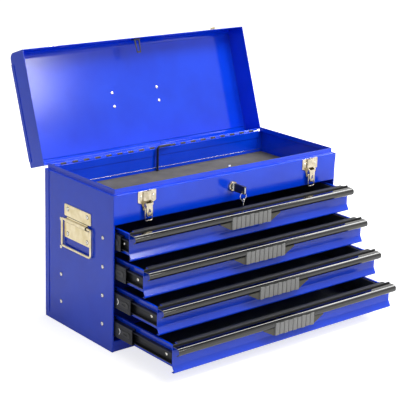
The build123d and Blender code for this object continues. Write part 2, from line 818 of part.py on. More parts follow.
# ---- Write one file for each sub-part ----

def pair(shape, x=0.0):
    right = Pos(x, 0, 0) * shape
    return [right, other_side(right)]


save("side_panel_right", side_panel())
save("side_panel_left", other_side(side_panel()))
save("back_panel", back_panel())
save("base_panel", base_panel())
save("front_apron", front_apron())
save("till_tray", till_tray())
save("till_liner", till_liner())

print(f"Each drawer travels {drawer_travel:.1f} mm on {slide_len:.1f} mm slides.")
case_spans = knuckle_spans(0)
lid_spans = knuckle_spans(1)
save("hinge_leaf_case", hinge_leaf(-1, case_spans, lid_spans))
save("hinge_leaf_lid", opened(hinge_leaf(1, lid_spans, case_spans) + lock_tab()))
save("hinge_pin", bar_along_x(hinge_pin_r, case_spans[0][0], case_spans[-1][1], hinge_y, hinge_z))

save("lid_shell", opened(lid_shell()))
save("lid_ends", *[opened(end) for end in pair(lid_end())])
save("lid_keepers", *[opened(keeper) for keeper in pair(lid_keeper(), latch_x)])
save("lock_strike", opened(lock_strike()))
save("lid_handle_brackets", *[opened(bracket) for bracket in pair(carry_bracket(), carry_x)])
inner_head = Rot(180, 0, 0) * rivet_head()
lid_heads = [Pos(x, carry_y + dy, lid_top - sheet) * inner_head
             for x in (-carry_x, carry_x) for dy in (-carry_rivet_y, carry_rivet_y)]
save("lid_rivets", *[opened(head) for head in lid_heads])
carry_pivot = Axis((0, carry_y, lid_top + carry_axis), (1, 0, 0))
hang = lid_open - 90.0
save("lid_handle_bail", opened(carry_handle().rotate(carry_pivot, hang)))
grip_bar = bar_along_x(carry_grip_r, -carry_grip_l / 2, carry_grip_l / 2,
                       carry_y + carry_drop, lid_top + carry_axis)
grip_bar -= bar_along_x(carry_rod_r, -carry_grip_l, carry_grip_l,
                        carry_y + carry_drop, lid_top + carry_axis)
save("lid_handle_grip", opened(grip_bar.rotate(carry_pivot, hang)))

save("case_rivets", *case_rivets())
save("slide_cabinet_members", *[side for i in range(drawer_count) for side in pair(cabinet_member(i))])
save("slide_ball_cages", *[side for i in range(drawer_count) for side in pair(ball_cage(i))])

for i in range(drawer_count):
    number = i + 1
    save(f"drawer_pan_{number}", pulled(drawer_pan(i), i))
    save(f"drawer_front_{number}", pulled(drawer_front(i), i))
    save(f"drawer_pull_{number}", pulled(drawer_pull(i), i))
    save(f"drawer_liner_{number}", pulled(drawer_liner(i), i))
    rails = [side for piece in drawer_member(i) for side in pair(piece)]
    save(f"slide_drawer_members_{number}", *[pulled(piece, i) for piece in rails])
    save(f"slide_middle_members_{number}", *pair(middle_member(i)))

save("latch_bases", *pair(latch_base(), latch_x))
save("latch_lever_right", Pos(latch_x, 0, 0) * latch_lever())
save("latch_lever_left", Pos(-latch_x, 0, 0) * latch_lever())
save("latch_bail_right", Pos(latch_x, 0, 0) * latch_bail())
save("latch_bail_left", Pos(-latch_x, 0, 0) * latch_bail())
save("side_handle_plates", *pair(side_handle_plate()))
save("side_bail_right", side_bail())
save("side_bail_left", other_side(side_bail()))

save("lock_housing", lock_housing())
save("lock_plug", lock_plug())
save("key", key())
save("key_ring", key_ring())
save("spare_key", spare_key())
save("lock_bar", lock_bar())
save("lock_bar_spring", lock_bar_spring())
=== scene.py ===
import bpy
import bmesh
import math
from mathutils import Matrix, Vector


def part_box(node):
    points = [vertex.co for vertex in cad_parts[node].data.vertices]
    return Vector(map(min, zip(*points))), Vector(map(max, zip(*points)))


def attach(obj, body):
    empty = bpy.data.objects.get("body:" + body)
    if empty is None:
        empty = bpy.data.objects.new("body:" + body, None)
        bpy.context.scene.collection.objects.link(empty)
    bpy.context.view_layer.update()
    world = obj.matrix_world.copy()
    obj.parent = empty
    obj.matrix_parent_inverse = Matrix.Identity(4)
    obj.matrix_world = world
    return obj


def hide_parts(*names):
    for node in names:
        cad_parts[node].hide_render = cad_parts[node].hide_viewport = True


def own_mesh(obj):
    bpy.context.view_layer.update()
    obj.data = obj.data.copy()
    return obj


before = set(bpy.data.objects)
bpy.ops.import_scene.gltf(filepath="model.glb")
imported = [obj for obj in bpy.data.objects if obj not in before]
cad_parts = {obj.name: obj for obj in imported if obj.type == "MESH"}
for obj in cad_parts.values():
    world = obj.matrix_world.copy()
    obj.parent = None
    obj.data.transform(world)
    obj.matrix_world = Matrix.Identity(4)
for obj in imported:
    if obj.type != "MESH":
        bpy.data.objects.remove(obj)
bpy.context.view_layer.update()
print("Tool box frame loaded")


# colours, nodes and finishes

def hexColour(code):
    # sRGB hex to linear
    parts = [int(code[i:i + 2], 16) / 255 for i in (0, 2, 4)]
    linear = [p / 12.92 if p <= 0.04045 else ((p + 0.055) / 1.055) ** 2.4 for p in parts]
    return (*linear, 1.0)


def addNode(tree, kind, values=None, links=None, stops=(), **settings):
    # a link comes from a socket, or from a node's first output; stops are a ramp's places and colours
    node = tree.nodes.new("ShaderNode" + kind)
    for key, value in settings.items():
        setattr(node, key, value)
    for key, value in (values or {}).items():
        node.inputs[key].default_value = value
    for key, source in (links or {}).items():
        tree.links.new(getattr(source, "outputs", [source])[0], node.inputs[key])
    for k, (position, code) in enumerate(stops):
        node.color_ramp.elements[k].position = position
        node.color_ramp.elements[k].color = hexColour(code)
    return node


def startFinish(name, **values):
    finish = bpy.data.materials.new(name)
    finish.use_nodes = True
    shader = finish.node_tree.nodes["Principled BSDF"]
    for key, value in values.items():
        shader.inputs[key.replace("_", " ")].default_value = value
    place = addNode(finish.node_tree, "TexCoord")
    return finish, finish.node_tree, shader, place.outputs["Object"]


def joinShader(tree, shader, tone, gloss=None, bump=None):
    for node, entry in ((tone, "Base Color"), (gloss, "Roughness"), (bump, "Normal")):
        if node:
            tree.links.new(node.outputs[0], shader.inputs[entry])


def perMetre(millimetres):
    # texture scale for a pattern that repeats at this spacing
    return 1000.0 / millimetres


def addStreaks(tree, place, look, axis, detail):
    # noise drawn out along one axis
    scale = [perMetre(look["acrossMm"])] * 3
    scale[axis] = perMetre(look["alongMm"])
    stretch = addNode(tree, "Mapping", {"Scale": scale}, {"Vector": place})
    return addNode(tree, "TexNoise", {"Scale": 1.0, "Detail": detail}, {"Vector": stretch})


coat = {
    "colour": "0446EA", "shade": "033EDC",   # royal blue, and where the film is thinner
    "roughness": 0.13,
    "peelMm": 3.4,                           # orange peel is 1 to 2 mm on steel, drawn coarser to show
    "cloudMm": 90.0,
    "edgeMm": 0.9,                           # the coat rounds the sheared edges
    "peelHeight": 0.00002,
}


def powderCoatedSteel():
    # polyester powder baked on sheet steel: deep gloss over a faint orange peel
    finish, tree, shader, place = startFinish("powderCoatedSteel", IOR=1.5)
    cloud = addNode(tree, "TexNoise", {"Scale": perMetre(coat["cloudMm"]), "Detail": 3.0},
                    {"Vector": place})
    tone = addNode(tree, "ValToRGB", None, {"Fac": cloud}, ((0.3, coat["shade"]), (0.6, coat["colour"])))
    gloss = addNode(tree, "MapRange",
                    {"To Min": coat["roughness"] - 0.03, "To Max": coat["roughness"] + 0.05},
                    {"Value": cloud})
    peel = addNode(tree, "TexNoise", {"Scale": perMetre(coat["peelMm"]), "Detail": 1.0}, {"Vector": place})
    soft = addNode(tree, "Bevel", {"Radius": coat["edgeMm"] / 1000}, samples=4)
    bump = addNode(tree, "Bump", {"Strength": 0.3, "Distance": coat["peelHeight"]},
                   {"Height": peel, "Normal": soft})
    joinShader(tree, shader, tone, gloss, bump)
    return finish


# rolled grain is under a tenth of a millimetre, drawn coarser to show
plating = {"acrossMm": 0.9, "alongMm": 9.0, "grainHeight": 0.00004}


def platedSteel(name, colour, shade, roughness, spotMm):
    # thin plate over stamped steel: the rolled grain shows through as soft streaks and a few dull spots
    finish, tree, shader, place = startFinish(name, Metallic=1.0)
    streak = addStreaks(tree, place, plating, 1, 2.0)
    spots = addNode(tree, "TexNoise", {"Scale": perMetre(spotMm), "Detail": 4.0}, {"Vector": place})
    tone = addNode(tree, "ValToRGB", None, {"Fac": spots}, ((0.32, shade), (0.62, colour)))
    gloss = addNode(tree, "MapRange", {"To Min": roughness - 0.06, "To Max": roughness + 0.1},
                    {"Value": streak})
    bump = addNode(tree, "Bump", {"Strength": 0.25, "Distance": plating["grainHeight"]}, {"Height": streak})
    joinShader(tree, shader, tone, gloss, bump)
    return finish


# die lines are about 0.1 mm apart, drawn coarser to show
anodised = {
    "colour": "494948", "shade": "3C3C3B", "acrossMm": 0.7, "alongMm": 120.0, "lineHeight": 0.00002,
}


def anodisedAluminium():
    # extruded and dark anodised: mirror-like along its length, with fine die lines
    finish, tree, shader, place = startFinish("anodisedAluminium", Metallic=1.0, Coat_Weight=0.6,
                                              Coat_Roughness=0.04)
    lines = addStreaks(tree, place, anodised, 0, 2.0)
    tone = addNode(tree, "ValToRGB", None, {"Fac": lines},
                   ((0.3, anodised["shade"]), (0.7, anodised["colour"])))
    gloss = addNode(tree, "MapRange", {"To Min": 0.05, "To Max": 0.1}, {"Value": lines})
    bump = addNode(tree, "Bump", {"Strength": 0.15, "Distance": anodised["lineHeight"]}, {"Height": lines})
    joinShader(tree, shader, tone, gloss, bump)
    return finish


slidePaint = {"colour": "3A3B40", "shade": "191A1E", "acrossMm": 2.0, "alongMm": 60.0}


def blackSlideSteelAndShade():
    # electro-coated channel steel: satin black, rubbed a little brighter by the balls
    finish, tree, shader, place = startFinish("blackSlideSteelAndShade", Metallic=0.35)
    track = addStreaks(tree, place, slidePaint, 1, 3.0)
    tone = addNode(tree, "ValToRGB", None, {"Fac": track},
                   ((0.4, slidePaint["shade"]), (0.75, slidePaint["colour"])))
    gloss = addNode(tree, "MapRange", {"To Min": 0.3, "To Max": 0.5}, {"Value": track})
    joinShader(tree, shader, tone, gloss)
    return finish


matRubber = {
    "colour": "43494E", "shade": "2C3135", "dustMm": 25.0,
    "ribMm": 4.0, "ribHeight": 0.0004,       # ribs are 2 mm apart, drawn coarser to show
    "waveTurn": 2.0 / 6.2832,                # scale of a wave texture for one band in a unit
}


def ribbedRubber():
    # extruded drawer mat: fine ribs from front to back, dark grey with a low sheen
    finish, tree, shader, place = startFinish("ribbedRubber", Roughness=0.45, IOR=1.5)
    ribs = addNode(tree, "TexWave",
                   {"Scale": perMetre(matRubber["ribMm"]) * matRubber["waveTurn"], "Distortion": 0.0},
                   {"Vector": place}, wave_type="BANDS", bands_direction="X")
    dust = addNode(tree, "TexNoise", {"Scale": perMetre(matRubber["dustMm"]), "Detail": 5.0},
                   {"Vector": place})
    tone = addNode(tree, "ValToRGB", None, {"Fac": dust},
                   ((0.35, matRubber["shade"]), (0.75, matRubber["colour"])))
    bump = addNode(tree, "Bump", {"Strength": 0.6, "Distance": matRubber["ribHeight"]},
                   {"Height": ribs.outputs["Fac"]})
    joinShader(tree, shader, tone, None, bump)
    return finish


foam = {"colour": "5E5B54", "shade": "4B4944", "cloudMm": 30.0, "pebbleMm": 3.0, "pebbleHeight": 0.0005}


def foamRubber():
    # calendered till mat: grey-brown, with a pebbled face
    finish, tree, shader, place = startFinish("foamRubber", Roughness=0.78, IOR=1.48)
    pebble = addNode(tree, "TexVoronoi", {"Scale": perMetre(foam["pebbleMm"])}, {"Vector": place})
    cloud = addNode(tree, "TexNoise", {"Scale": perMetre(foam["cloudMm"]), "Detail": 4.0},
                    {"Vector": place})
    tone = addNode(tree, "ValToRGB", None, {"Fac": cloud}, ((0.3, foam["shade"]), (0.7, foam["colour"])))
    bump = addNode(tree, "Bump", {"Strength": 0.5, "Distance": foam["pebbleHeight"]}, {"Height": pebble})
    joinShader(tree, shader, tone, None, bump)
    return finish


# a spark-eroded mould leaves a grain of about 0.1 mm, drawn coarser to show
moulding = {"grainMm": 1.2, "grainHeight": 0.00008}


def mouldedAbs(name, colour, shade, roughness):
    # injection-moulded ABS: even colour with a fine spark-eroded texture
    finish, tree, shader, place = startFinish(name, Roughness=roughness, IOR=1.53)
    texture = addNode(tree, "TexNoise", {"Scale": perMetre(moulding["grainMm"]), "Detail": 2.0},
                      {"Vector": place})
    tone = addNode(tree, "ValToRGB", None, {"Fac": texture}, ((0.3, shade), (0.7, colour)))
    bump = addNode(tree, "Bump", {"Strength": 0.3, "Distance": moulding["grainHeight"]},
                   {"Height": texture})
    joinShader(tree, shader, tone, None, bump)
    return finish


coatedSteel = powderCoatedSteel()
nickelPlate = platedSteel("nickelPlate", "DDD2BC", "B5A88E", 0.2, 9.0)        # warm and fairly bright
zincPlate = platedSteel("zincPlate", "FFF1CC", "E9D8A8", 0.3, 14.0)           # yellow-passivated, duller
brightSteelAndHighlight = platedSteel("brightSteelAndHighlight", "E8E8E6", "C4C4C2", 0.2, 8.0)        # ground keys and wire; on the tray's edge bead the bright steel is a painted highlight
rivetSteel = platedSteel("rivetSteel", "FFFCF4", "EDE8DC", 0.24, 6.0)         # tumbled, the whitest metal
springSteelAndShade = platedSteel("springSteelAndShade", "9A9A98", "6E6E6C", 0.35, 5.0)       # oil-tempered wire, grey; on the screws' cross recesses the grey is painted shade
darkAluminium = anodisedAluminium()
# the same satin black also serves as painted shade round the rivets and in the handles' seams
slideSteelAndShade = blackSlideSteelAndShade()
drawerMat = ribbedRubber()
edgeRubberAndShade = mouldedAbs("edgeRubberAndShade", "101215", "0A0B0D", 0.6)                # extruded strip, quite dull; on the hinge's knuckles the same black is painted shade
tillMat = foamRubber()
# the same black also serves as painted shade in the lock's keyway
blackAbsAndShade = mouldedAbs("blackAbsAndShade", "17181A", "0E0F10", 0.32)
greyAbs = mouldedAbs("greyAbs", "8B8B8A", "7C7C7B", 0.5)
oliveAbs = mouldedAbs("oliveAbs", "4E4C43", "434138", 0.5)
slideLeverAbs = mouldedAbs("slideLeverAbs", "2E2F31", "232426", 0.42)
rodCoatAndShade = mouldedAbs("rodCoatAndShade", "11162E", "0B0F20", 0.35)                     # dipped PVC film, navy, on the lock bar; on the hinge pin and the lock strike the dark navy is painted shade
print("Finishes made")

nodeFinishes = [
    (coatedSteel, ["side_panel_left", "side_panel_right", "back_panel", "base_panel", "front_apron",
                   "till_tray", "hinge_leaf_case", "hinge_leaf_lid", "lid_shell", "lid_ends"]),
    (tillMat, ["till_liner"]),
    # the lock bar is navy coated; the hinge pin and the lock strike are dark navy as painted shade
    (rodCoatAndShade, ["hinge_pin", "lock_bar", "lock_strike"]),
    (slideSteelAndShade, ["slide_cabinet_members"]),
    (springSteelAndShade, ["lock_bar_spring"]),
    (nickelPlate, ["lid_handle_brackets", "lid_keepers", "lock_housing", "latch_bases", "lid_handle_bail",
                   "latch_lever_right", "latch_lever_left", "latch_bail_right", "latch_bail_left"]),
    (brightSteelAndHighlight, ["slide_ball_cages", "lock_plug", "key_ring", "spare_key"]),
    (zincPlate, ["side_handle_plates", "side_bail_right", "side_bail_left"]),
    (rivetSteel, ["case_rivets", "lid_rivets"]),
    (blackAbsAndShade, ["key", "lid_handle_grip"]),
]
for number in range(1, 5):
    nodeFinishes += [
        (coatedSteel, [f"drawer_pan_{number}", f"drawer_front_{number}"]),
        (darkAluminium, [f"drawer_pull_{number}"]),
        (drawerMat, [f"drawer_liner_{number}"]),
        (slideSteelAndShade, [f"slide_drawer_members_{number}", f"slide_middle_members_{number}"]),
    ]
for finish, names in nodeFinishes:
    for name in names:
        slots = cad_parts[name].data.materials
        slots.clear()
        slots.append(finish)
print("Finishes on the sheet metal")


# places that several pieces share, and shape helpers, all in millimetres

case = {
    "front": -105.0, "back": 105.0, "side": 259.0, "lidTop": 328.0, "sheet": 1.0,
    "hingeY": 107.7, "hingeZ": 281.0, "lidOpen": 109.0,
    "slideRise": 21.5,                       # middle of a slide above its drawer
    "latchX": 190.5, "handleZ": 201.0, "carryX": 53.6, "carryY": 2.5, "carryRivets": 13.2,
}
drawerOut = (40.0, 80.0, 119.0, 160.5)
middleOut = (14.0, 30.0, 44.0, 50.0)
drawerLow = [21.8 + 52.0 * (3 - i) for i in range(4)]
touch = 0.02                                 # keeps two faces out of one plane

hingeAt = Vector((0, case["hingeY"], case["hingeZ"]))
openLid = (Matrix.Translation(hingeAt) @ Matrix.Rotation(math.radians(-case["lidOpen"]), 4, "X")
           @ Matrix.Translation(-hingeAt))
asDrawn = Matrix.Identity(4)
otherSide = Matrix.Scale(-1, 4, (1, 0, 0))


def rectangle(a0, b0, a1, b1):
    return [(a0, b0), (a1, b0), (a1, b1), (a0, b1)]


def mirrored(half):
    # closed outline from its right half, drawn from one end to the other
    return [(-half[0][0], half[0][1]), *half, *[(-a, b) for a, b in half[:0:-1]]]


def arc(a, b, r, start, end, steps):
    # points round a centre, from one angle to another in degrees
    turns = [math.radians(start + (end - start) * s / steps) for s in range(steps + 1)]
    return [(a + r * math.cos(t), b + r * math.sin(t)) for t in turns]


def roundedPath(points, radii, steps=8):
    # the points of a path whose corners have these radii
    path = [Vector(points[0])]
    for k in range(1, len(points) - 1):
        before, corner, after = Vector(points[k - 1]), Vector(points[k]), Vector(points[k + 1])
        back, ahead = (before - corner).normalized(), (after - corner).normalized()
        half = back.angle(ahead) / 2
        radius = radii[k - 1] if isinstance(radii, (list, tuple)) else radii
        if radius < 0.01:
            path.append(corner)
            continue
        centre = corner + (back + ahead).normalized() * (radius / math.sin(half))
        start = corner + back * (radius / math.tan(half)) - centre
        turn = math.pi - 2 * half
        axis = start.cross(corner + ahead * (radius / math.tan(half)) - centre).normalized()
        for s in range(steps + 1):
            path.append(centre + Matrix.Rotation(turn * s / steps, 3, axis) @ start)
    path.append(Vector(points[-1]))
    return path


def tangent(path, k):
    return (path[min(k + 1, len(path) - 1)] - path[max(k - 1, 0)]).normalized()


def addRing(mesh, centre, across, up, r, sides, place):
    turns = [2 * math.pi * s / sides for s in range(sides)]
    return [mesh.verts.new(place @ (centre + (across * math.cos(t) + up * math.sin(t)) * r)) for t in turns]


def addTube(mesh, points, radii, r, sides=14, steps=8, place=asDrawn):
    path = roundedPath(points, radii, steps)
    across = tangent(path, 0).orthogonal().normalized()
    rings = []
    for k, point in enumerate(path):
        way = tangent(path, k)
        across = (across - way * across.dot(way)).normalized()
        rings.append(addRing(mesh, point, across, way.cross(across), r, sides, place))
    for a, b in zip(rings, rings[1:]):
        for s in range(sides):
            mesh.faces.new((a[s], a[(s + 1) % sides], b[(s + 1) % sides], b[s]))
    mesh.faces.new(rings[0][::-1])
    mesh.faces.new(rings[-1])


def addTurned(mesh, profile, at, axis, sides=28, place=asDrawn):
    # profile is (radius, height along the axis); a radius of 0 closes an end
    axis = Vector(axis).normalized()
    across = axis.orthogonal().normalized()
    up = axis.cross(across)
    rings = []
    for radius, height in profile:
        centre = Vector(at) + axis * height
        if radius < 0.001:
            rings.append([mesh.verts.new(place @ centre)])
        else:
            rings.append(addRing(mesh, centre, across, up, radius, sides, place))
    for a, b in zip(rings, rings[1:]):
        for s in range(sides):
            n = (s + 1) % sides
            if len(a) == 1 and len(b) > 1:
                mesh.faces.new((a[0], b[n], b[s]))
            elif len(b) == 1 and len(a) > 1:
                mesh.faces.new((a[s], a[n], b[0]))
            elif len(a) > 1:
                mesh.faces.new((a[s], a[n], b[n], b[s]))


def addPlate(mesh, outline, low, high, axis, place=asDrawn, hole=None):
    # outline is drawn across the axis; a hole has as many points as the outline
    def point(a, b, c):
        spots = {"X": (c, a, b), "Y": (a, c, b), "Z": (a, b, c)}
        return mesh.verts.new(place @ Vector(spots[axis]))
    loops = (outline, hole) if hole else (outline,)
    rings = [[point(a, b, c) for a, b in loop] for loop in loops for c in (low, high)]
    # sides of the plate, then the hole's wall and the two faces round it
    walls = ((0, 1), (3, 2), (2, 0), (1, 3)) if hole else ((0, 1),)
    count = len(outline)
    for a, b in walls:
        for s in range(count):
            n = (s + 1) % count
            mesh.faces.new((rings[a][s], rings[a][n], rings[b][n], rings[b][s]))
    if not hole:
        mesh.faces.new(rings[0][::-1])
        mesh.faces.new(rings[1])


def foldedSection(points, radii, gauge, steps=8):
    # closed outline of sheet folded along points, gauge to the left of the path
    path = roundedPath([(a, b, 0) for a, b in points], radii, steps)
    outer, inner = [], []
    for k, spot in enumerate(path):
        ahead = tangent(path, k)
        outer.append((spot.x, spot.y))
        inner.append((spot.x - ahead.y * gauge, spot.y + ahead.x * gauge))
    return outer + inner[::-1]


def roundedOutline(points, radius, steps=5):
    # closed outline with every corner rounded
    count = len(points)
    outline = []
    for k in range(count):
        corner = [(*points[(k + d) % count], 0) for d in (-1, 0, 1)]
        outline += [(p.x, p.y) for p in roundedPath(corner, radius, steps)[1:-1]]
    return outline


def addObject(name, data):
    made = bpy.data.objects.new(name, data)
    bpy.context.scene.collection.objects.link(made)
    return made


def finishPiece(name, mesh, finish, body, replaced=(), edge=0.0, smooth=38.0):
    # edge is the width of the worn edges, smooth the angle up to which faces shade as one
    bmesh.ops.remove_doubles(mesh, verts=mesh.verts, dist=0.0005)
    bmesh.ops.recalc_face_normals(mesh, faces=mesh.faces)
    bmesh.ops.scale(mesh, vec=(0.001, 0.001, 0.001), verts=mesh.verts)
    data = bpy.data.meshes.new(name)
    mesh.to_mesh(data)
    mesh.free()
    data.polygons.foreach_set("use_smooth", [True] * len(data.polygons))
    data.set_sharp_from_angle(angle=math.radians(smooth))
    data.materials.append(finish)
    piece = addObject(name, data)
    if edge:
        bevel = piece.modifiers.new("worn edges", "BEVEL")
        bevel.width = edge / 1000
        bevel.segments = 2
        bevel.limit_method = "ANGLE"
        bevel.angle_limit = math.radians(40)
    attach(piece, body)
    if replaced:
        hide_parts(*replaced)
    return piece


# drawer pulls

pull = {
    "half": 254.5, "drop": 2.0, "height": 13.5, "out": 17.0, "gauge": 1.2, "nose": 6.2, "lip": 6.5,
    "frontHeight": 47.7, "hem": 8.0,         # of the drawer front
    "lapHalf": 243.5, "lapUp": 0.6, "lapDown": 1.6, "lapT": 0.5,
    "skirtTop": 72.5, "skirtFoot": 47.5, "skirtDrop": 13.0, "skirtT": 2.0, "skirtBack": 2.4,
    "gripHalf": 46.0, "gripTop": 4.3,        # the grip starts this far below the nose's top
    "recess": 1.4, "blockIn": 0.7, "blockT": 0.6,
    "ribs": 9, "ribDeep": 1.1, "ribGap": 1.5, "ribStep": 0.6, "ribSlope": 0.3,
}


def drawerPull(i):
    hemTop = drawerLow[i] + pull["frontHeight"]
    top = hemTop - pull["drop"]
    low = top - pull["height"]
    front = case["front"] - drawerOut[i]
    nose = front - pull["out"]
    grip = pull["gripHalf"]
    body = f"drawer_{i + 1}"
    # folded strip: flat web from the front to the nose, turned in under it
    section = foldedSection([(front - touch, top), (nose, top), (nose, low), (nose + pull["lip"], low)],
                            [pull["nose"], pull["nose"]], pull["gauge"], 12)
    mesh = bmesh.new()
    addPlate(mesh, section, -pull["half"], -grip, "X")
    addPlate(mesh, section, grip, pull["half"], "X")
    behind = [(max(a, nose + pull["recess"]) if b < top - pull["gripTop"] else a, b) for a, b in section]
    addPlate(mesh, behind, -grip, grip, "X")
    finishPiece(f"pull{i + 1}", mesh, darkAluminium, body, (f"drawer_pull_{i + 1}",),
                smooth=30.0)
    # rubber strip that laps over the hem and down the front to the web
    mesh = bmesh.new()
    up, down = hemTop + pull["lapUp"], hemTop - pull["lapDown"]
    back = front + pull["hem"] + pull["lapUp"]
    lap = foldedSection([(back, down), (back, up), (front + 0.8, up)], [0.5], pull["lapT"], 3)
    addPlate(mesh, lap, -pull["lapHalf"], pull["lapHalf"], "X")
    ahead = front - pull["lapUp"]
    drop = foldedSection([(front + 1.0, up), (ahead, up), (ahead, top + 0.03)], [0.6], pull["lapT"], 4)
    addPlate(mesh, drop, -pull["half"], pull["half"], "X")
    finishPiece(f"matEdge{i + 1}", mesh, edgeRubberAndShade, body)
    # skirt of the thumb grip, behind the ribs
    mesh = bmesh.new()
    face, foot = nose + pull["skirtBack"], low - pull["skirtDrop"]
    skirt = roundedOutline(mirrored([(pull["skirtTop"], low + pull["gauge"] / 2),
                                     (pull["skirtFoot"], foot)]), 0.8)
    addPlate(mesh, skirt, face, face + pull["skirtT"], "Y")
    finishPiece(f"gripSkirt{i + 1}", mesh, oliveAbs, body, edge=0.3)
    # the ribs step up and down by turns along the grip
    mesh = bmesh.new()
    gripTop = top - pull["gripTop"]
    deep = nose + pull["ribDeep"]
    block = roundedOutline(mirrored([(grip, deep), (grip, face + pull["blockT"])]), 0.3, 3)
    addPlate(mesh, block, foot + pull["blockIn"], gripTop - pull["blockIn"], "Z")
    pitch = 2 * grip / pull["ribs"]
    half = pitch / 2 - pull["ribGap"] / 2
    wide = half + pull["ribSlope"]
    for k in range(pull["ribs"]):
        x = (k + 0.5 - pull["ribs"] / 2) * pitch
        step = pull["ribStep"] if k % 2 else 0.0
        rib = roundedOutline([(x - wide, deep + 0.2), (x - half, nose + touch), (x + half, nose + touch),
                              (x + wide, deep + 0.2)], 0.4, 3)
        addPlate(mesh, rib, foot + step, gripTop - step, "Z")
    finishPiece(f"gripRibs{i + 1}", mesh, greyAbs, body, edge=0.2)


mat = {"thick": 1.5, "sideTop": 40.5, "corner": 2.5}


def drawerLiner(i):
    # the mat turns up along both sides of the pan
    low, high = (corner * 1000 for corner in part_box(f"drawer_liner_{i + 1}"))
    wall = drawerLow[i] + mat["sideTop"]
    mesh = bmesh.new()
    section = foldedSection([(low.x, wall), (low.x, low.z), (high.x, low.z), (high.x, wall)],
                            [mat["corner"], mat["corner"]], mat["thick"], 5)
    addPlate(mesh, section, low.y, high.y, "Y")
    finishPiece(f"drawerMat{i + 1}", mesh, drawerMat, f"drawer_{i + 1}",
                (f"drawer_liner_{i + 1}",))


for i in range(4):
    drawerPull(i)
    drawerLiner(i)
print("Pulls, grips and mats made")


# rivets and slide screws

rivet = {
    "r": 3.2, "h": 1.3, "dimple": 0.95, "rim": 0.8,
    "small": (2.2, 1.0, 0.7),                # radius, height and hole of those in the latch plates
    "caseY": (-74.5, 53.5), "handleY": (-30, 30), "handleRise": (-22.5, 22.5), "handleOut": 1.5,
    "latchX": (-12.83, 12.83), "latchZ": 270.0, "latchOut": 1.2,
}


def rivetProfile(r, h, dimple):
    # a set rivet: domed head with the snapped mandrel's hole in the middle
    return [(r, 0), (r, 0.25 * h), (0.93 * r, 0.55 * h), (0.75 * r, 0.82 * h), (0.5 * r, 0.97 * h),
            (dimple * 1.15, h), (dimple, 0.93 * h), (dimple * 0.9, 0.35 * h), (0, 0.3 * h)]


def sideRivets():
    mesh = bmesh.new()
    dark = bmesh.new()
    r, h, dimple = rivet["r"], rivet["h"], rivet["dimple"]
    # painted shade: a black disc down in each mandrel's hole
    holeShade = [(dimple * 0.85, 0.42 * h), (0, 0.46 * h)]
    # shadow line where the head meets the sheet
    rim = [(r + rivet["rim"], 0.02), (r + rivet["rim"] - 0.1, 0.08), (r - 0.2, 0.08)]
    spots = [(case["side"], y, low + case["slideRise"]) for low in drawerLow for y in rivet["caseY"]]
    spots += [(case["side"] + rivet["handleOut"], y, case["handleZ"] + rise)
              for y in rivet["handleY"] for rise in rivet["handleRise"]]
    for spot in spots:
        for place in (asDrawn, otherSide):
            addTurned(mesh, rivetProfile(r, h, dimple), spot, (1, 0, 0), 24, place)
            addTurned(dark, holeShade, spot, (1, 0, 0), 16, place)
            addTurned(dark, rim, spot, (1, 0, 0), 24, place)
    for x in (-case["latchX"], case["latchX"]):
        for dx in rivet["latchX"]:
            at = (x + dx, case["front"] - rivet["latchOut"], rivet["latchZ"])
            addTurned(mesh, rivetProfile(*rivet["small"]), at, (0, -1, 0), 20)
    finishPiece("setRivets", mesh, rivetSteel, "case", ("case_rivets",))
    finishPiece("rivetPaintedShade", dark, slideSteelAndShade, "case")


def lidRivets():
    mesh = bmesh.new()
    plain = rivetProfile(rivet["r"], rivet["h"], rivet["dimple"])
    for x in (-case["carryX"], case["carryX"]):
        for dy in (-case["carryRivets"], case["carryRivets"]):
            at = (x, case["carryY"] + dy, case["lidTop"] - case["sheet"])
            addTurned(mesh, plain, at, (0, 0, -1), 24, openLid)
    finishPiece("lidSetRivets", mesh, rivetSteel, "lid", ("lid_rivets",))


screw = {
    "x": 246.55, "frontIn": 26.0, "backY": 55.0,
    "head": [(3.1, 0), (3.1, 0.5), (2.7, 1.1), (1.6, 1.55), (0, 1.65)],
    "slotHalf": (0.35, 1.6), "slotFrom": 1.3, "slotTo": 1.7,
}


def slideScrews(i):
    # crosshead screws of the drawer's slide member
    mesh = bmesh.new()
    recess = bmesh.new()
    z = drawerLow[i] + case["slideRise"]
    narrow, wide = screw["slotHalf"]
    for y in (case["front"] + screw["frontIn"] - drawerOut[i], screw["backY"] - drawerOut[i]):
        for place in (asDrawn, otherSide):
            addTurned(mesh, screw["head"], (screw["x"], y, z), (1, 0, 0), 24, place)
            # painted shade: grey crosses on the white heads stand for the recesses
            for a, b in ((wide, narrow), (narrow, wide)):
                addPlate(recess, rectangle(y - a, z - b, y + a, z + b), screw["x"] + screw["slotFrom"],
                         screw["x"] + screw["slotTo"], "X", place)
    finishPiece(f"slideScrews{i + 1}", mesh, rivetSteel, f"drawer_{i + 1}")
    finishPiece(f"screwSlotShade{i + 1}", recess, springSteelAndShade, f"drawer_{i + 1}")


sideRivets()
lidRivets()
for i in range(4):
    slideScrews(i)
print("Rivets and screws made")


# fittings on the middle slide members

slide = {
    "web": 254.4, "stopAt": 39.0, "stopR": 6.5, "stopW": 1.9, "stopT": 0.8,
    "leverAt": 6.0, "leverL": 24.0, "leverH": 11.0, "leverT": 0.6, "slotAt": 12.0,
    "dimpleAt": 4.5, "dimpleRise": 9.0, "dimple": [(1.7, 0), (1.5, 0.45), (0.7, 0.6), (0, 0.6)],
}


